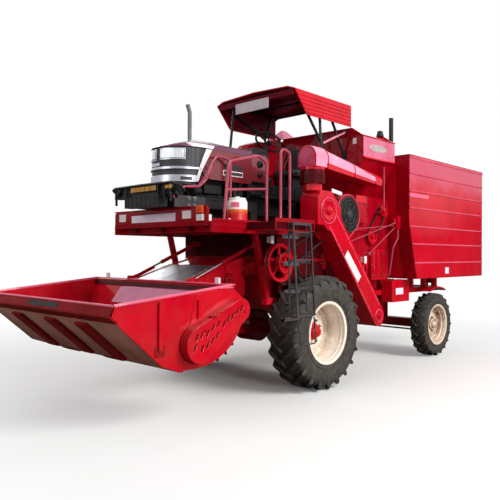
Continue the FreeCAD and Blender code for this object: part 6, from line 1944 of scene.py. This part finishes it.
# %% Frame bolts, rear lamps and hatches
RAIL_FACE = 0.8203  # just outside the main frame's rails
hatch = Shape()
for s in SIDES:
    y0, y1 = mirror(s, 0.63, 0.82)
    hatch.box(-1.1, -0.62, y0, y1, 2.46, 2.467)
    hatch.tube([(-1.02, s * 0.72, 2.462), (-1.02, s * 0.72, 2.505), (-0.9, s * 0.72, 2.505),
        (-0.9, s * 0.72, 2.462)], 0.006, 8, 0.02)
for x in (-2.55, -3.35, -4.15):
    hatch.prism("z", [(x - 0.2, -0.55), (x + 0.2, -0.55), (x + 0.2, 0.15), (x - 0.2, 0.15)], 3.121, 3.127)
    hatch.tube([(x - 0.06, -0.2, 3.125), (x - 0.06, -0.2, 3.16), (x + 0.06, -0.2, 3.16),
        (x + 0.06, -0.2, 3.125)], 0.006, 8, 0.015)
piece("roof_hatches", hatch, RED, 0.002)
bolts = Shape()
for s in SIDES:
    for x in (-3.715, -3.3, -3.19, -2.53, -2.2, -1.6, -1.0, -0.4, 0.1, 0.45):
        for z in (1.055, 1.09):
            bolts.bolt((x, s * RAIL_FACE, z), (0, s, 0), 0.02)
    for x in (-2.89, -3.33, -3.71):
        bolts.bolt((x, s * RAIL_FACE, 1.16), (0, s, 0), 0.02)
        bolts.bolt((x, s * RAIL_FACE, 1.22), (0, s, 0), 0.02)
piece("frame_bolts", bolts, WORN_STEEL)
edging = Shape()
for s in SIDES:
    edging.box(-3.759, 0.612, *mirror(s, RAIL_FACE, 0.8235), 1.1005, 1.1085)
    edging.box(-3.759, 0.612, *mirror(s, RAIL_FACE, 0.8235), 1.0315, 1.0395)
    edging.flat([(-3.765, s * 0.62, 1.1), (-3.765, s * 0.62, 1.245)], 0.05, 0.008, AHEAD)
    edging.box(-3.79, -3.7695, *mirror(s, 0.53, 0.71), 1.15, 1.23)
piece("frame_flanges", edging, RED_IN_PAINTED_SHADE, 0.001)
for name, out, radius, plastic in (("tail_lamps", 0.66, 0.034, TAIL_RED),
        ("tail_turn_lamps", 0.57, 0.028, ORANGE)):
    lamp = Shape()
    for s in SIDES:
        lamp.lathe((-3.79, s * out, 1.19), (-1, 0, 0), [(0, 0), (0, radius), (0.012, radius),
            (0.02, radius - 0.008), (0.022, 0)], 28)
    piece(name, lamp, plastic)
number = Shape().box(-3.7675, -3.761, 0.12, 0.5, 1.04, 1.104)
piece("rear_blank_plate", number, LILAC, 0.001)

# %% [markdown]
# ## Walkers
# Straw climbs the walkers over saw-toothed side strips.

# %% Saw-toothed strips on the walkers
teeth = Shape()
for place in range(-2, 3):
    for s in SIDES:
        y = place * 0.442 + s * 0.205
        for i in range(8):
            x0, z0 = -2.235 - 0.27 * i, 2.051 + 0.018 * i
            for k in range(4):
                xa = x0 - 0.06 * k
                za = z0 + 0.055 * (0.06 * k) / 0.25
                teeth.prism("y", [(xa, za - 0.001), (xa - 0.055, za + 0.011), (xa - 0.055, za + 0.04)],
                    y - 0.003, y + 0.003)
piece("walker_teeth", teeth, STEEL)

# %% [markdown]
# ## Studio
# The machine stands on a plain pale floor in soft light from its left and a little behind, so that the
# left side is bright and the front is in shade. The floor is lit near the machine, where its shadow lies,
# and fades to the white of the backdrop further out.

# %% Floor
def floor_material():
    material, tree, place = start_material("pale_studio_floor")
    shader = tree.nodes["Principled BSDF"]
    speck = mottled(tree, place, 0.5, 0.0, 1.0, "#F4F4F3", "#EEEEEC")
    feed(tree, shader, {"Base Color": speck, "Roughness": 0.9})
    # Light that bounces off the floor comes from a darker, soil-like ground; the viewer sees it pale.
    ground = put(tree, "BsdfDiffuse", {"Color": "#6E645C"})
    away = put(tree, "VectorMath", [place], "Value", operation="LENGTH")
    far = put(tree, "MapRange", [away, 1.0, 8.5])
    seen = put(tree, "LightPath", output="Is Camera Ray")
    white = put(tree, "Emission", {"Color": (1, 1, 1, 1), "Strength": 1.0})
    beyond = put(tree, "Math", [far, seen], operation="MULTIPLY")
    near = put(tree, "MixShader", [seen, ground, shader.outputs[0]])
    mix = put(tree, "MixShader", [beyond, near, white])
    feed(tree, tree.nodes["Material Output"], {"Surface": mix})
    return material


def make_floor(half):
    mesh = bpy.data.meshes.new("studio_floor")
    corners = [(-half, -half, 0), (half, -half, 0), (half, half, 0), (-half, half, 0)]
    mesh.from_pydata(corners, [], [(0, 1, 2, 3)])
    floor = bpy.data.objects.new("studio_floor", mesh)
    floor.data.materials.append(floor_material())
    floor.location = (0, 0, -0.001)
    bpy.context.scene.collection.objects.link(floor)


make_floor(half=60)


# %% Lights
def area_light(name, place, aim, size, power):
    light = bpy.data.lights.new(name, "AREA")
    light.shape = "DISK"
    light.size = size
    light.energy = power
    lamp = bpy.data.objects.new(name, light)
    lamp.location = place
    lamp.rotation_euler = (Vector(aim) - Vector(place)).to_track_quat("-Z", "Y").to_euler()
    bpy.context.scene.collection.objects.link(lamp)


area_light("key_light", (-1.0, 11.0, 8.5), (0, 0, 1.2), 6.0, 1500)
area_light("front_fill", (11.0, -2.0, 6.0), (1.5, 0, 1.5), 7.0, 300)
area_light("left_low", (3.5, 11.0, 1.9), (0.6, 0, 1.2), 3.0, 420)
area_light("right_fill", (-3.0, -11.0, 7.0), (0, 0, 1.5), 7.0, 450)

world = bpy.data.worlds.new("soft_surroundings")
bpy.context.scene.world = world
world.use_nodes = True
sky = world.node_tree
sky.nodes.clear()
SURROUND = 0.36  # light from all round on the machine
kinds = put(sky, "LightPath").node.outputs
direct = put(sky, "Math", [kinds["Is Camera Ray"], kinds["Is Transmission Ray"]], operation="MAXIMUM")
# Glossy coats mirror a dark belt of trees near the horizon and bright cloud over it.
aim = put(sky, "TexCoord", output="Generated")
leaves = put(sky, "TexNoise", blotches(aim, 0.12, 3.0), "Fac")
crowns = put(sky, "Math", [leaves, 0.1, 0.015], operation="MULTIPLY_ADD")
over = put(sky, "Math", [put(sky, "SeparateXYZ", [aim], "Z"), crowns], operation="SUBTRACT")
mirrored = put(sky, "MapRange", [over, -0.02, 0.03, 0.05, 1.15])
level = put(sky, "Mix", {0: kinds["Is Glossy Ray"], 2: SURROUND, 3: mirrored})
level = put(sky, "Mix", {0: direct, 2: level, 3: 1.0})
light = put(sky, "Background", {"Color": (1, 1, 1, 1), "Strength": level})
feed(sky, sky.nodes.new("ShaderNodeOutputWorld"), {"Surface": light})

# %% [markdown]
# ## Camera
# The viewer stands off the machine's left front corner with the lens at chest height, and looks level. A
# moderately long lens keeps the machine's proportions.

# %% Camera
EYE = Vector((5.794, 5.471, 1.628)) + ORIGIN
HEADING, LIFT, LEAN = math.radians(43.594), math.radians(0.413), math.radians(0.322)
SENSOR, FOCAL = 36.0, 42.48

ahead = Vector((-math.cos(HEADING) * math.cos(LIFT), -math.sin(HEADING) * math.cos(LIFT), math.sin(LIFT)))
level = Vector((-math.sin(HEADING), math.cos(HEADING), 0))
right = Matrix.Rotation(-LEAN, 3, ahead) @ level
above = right.cross(ahead)
camera = bpy.data.objects.new("camera", bpy.data.cameras.new("camera"))
camera.data.sensor_width = SENSOR
camera.data.lens = FOCAL
camera.data.clip_end = 500
camera.matrix_world = Matrix.Translation(EYE) @ Matrix((right, above, -ahead)).transposed().to_4x4()
bpy.context.scene.collection.objects.link(camera)
bpy.context.scene.camera = camera
bpy.context.scene.view_settings.view_transform = "Standard"
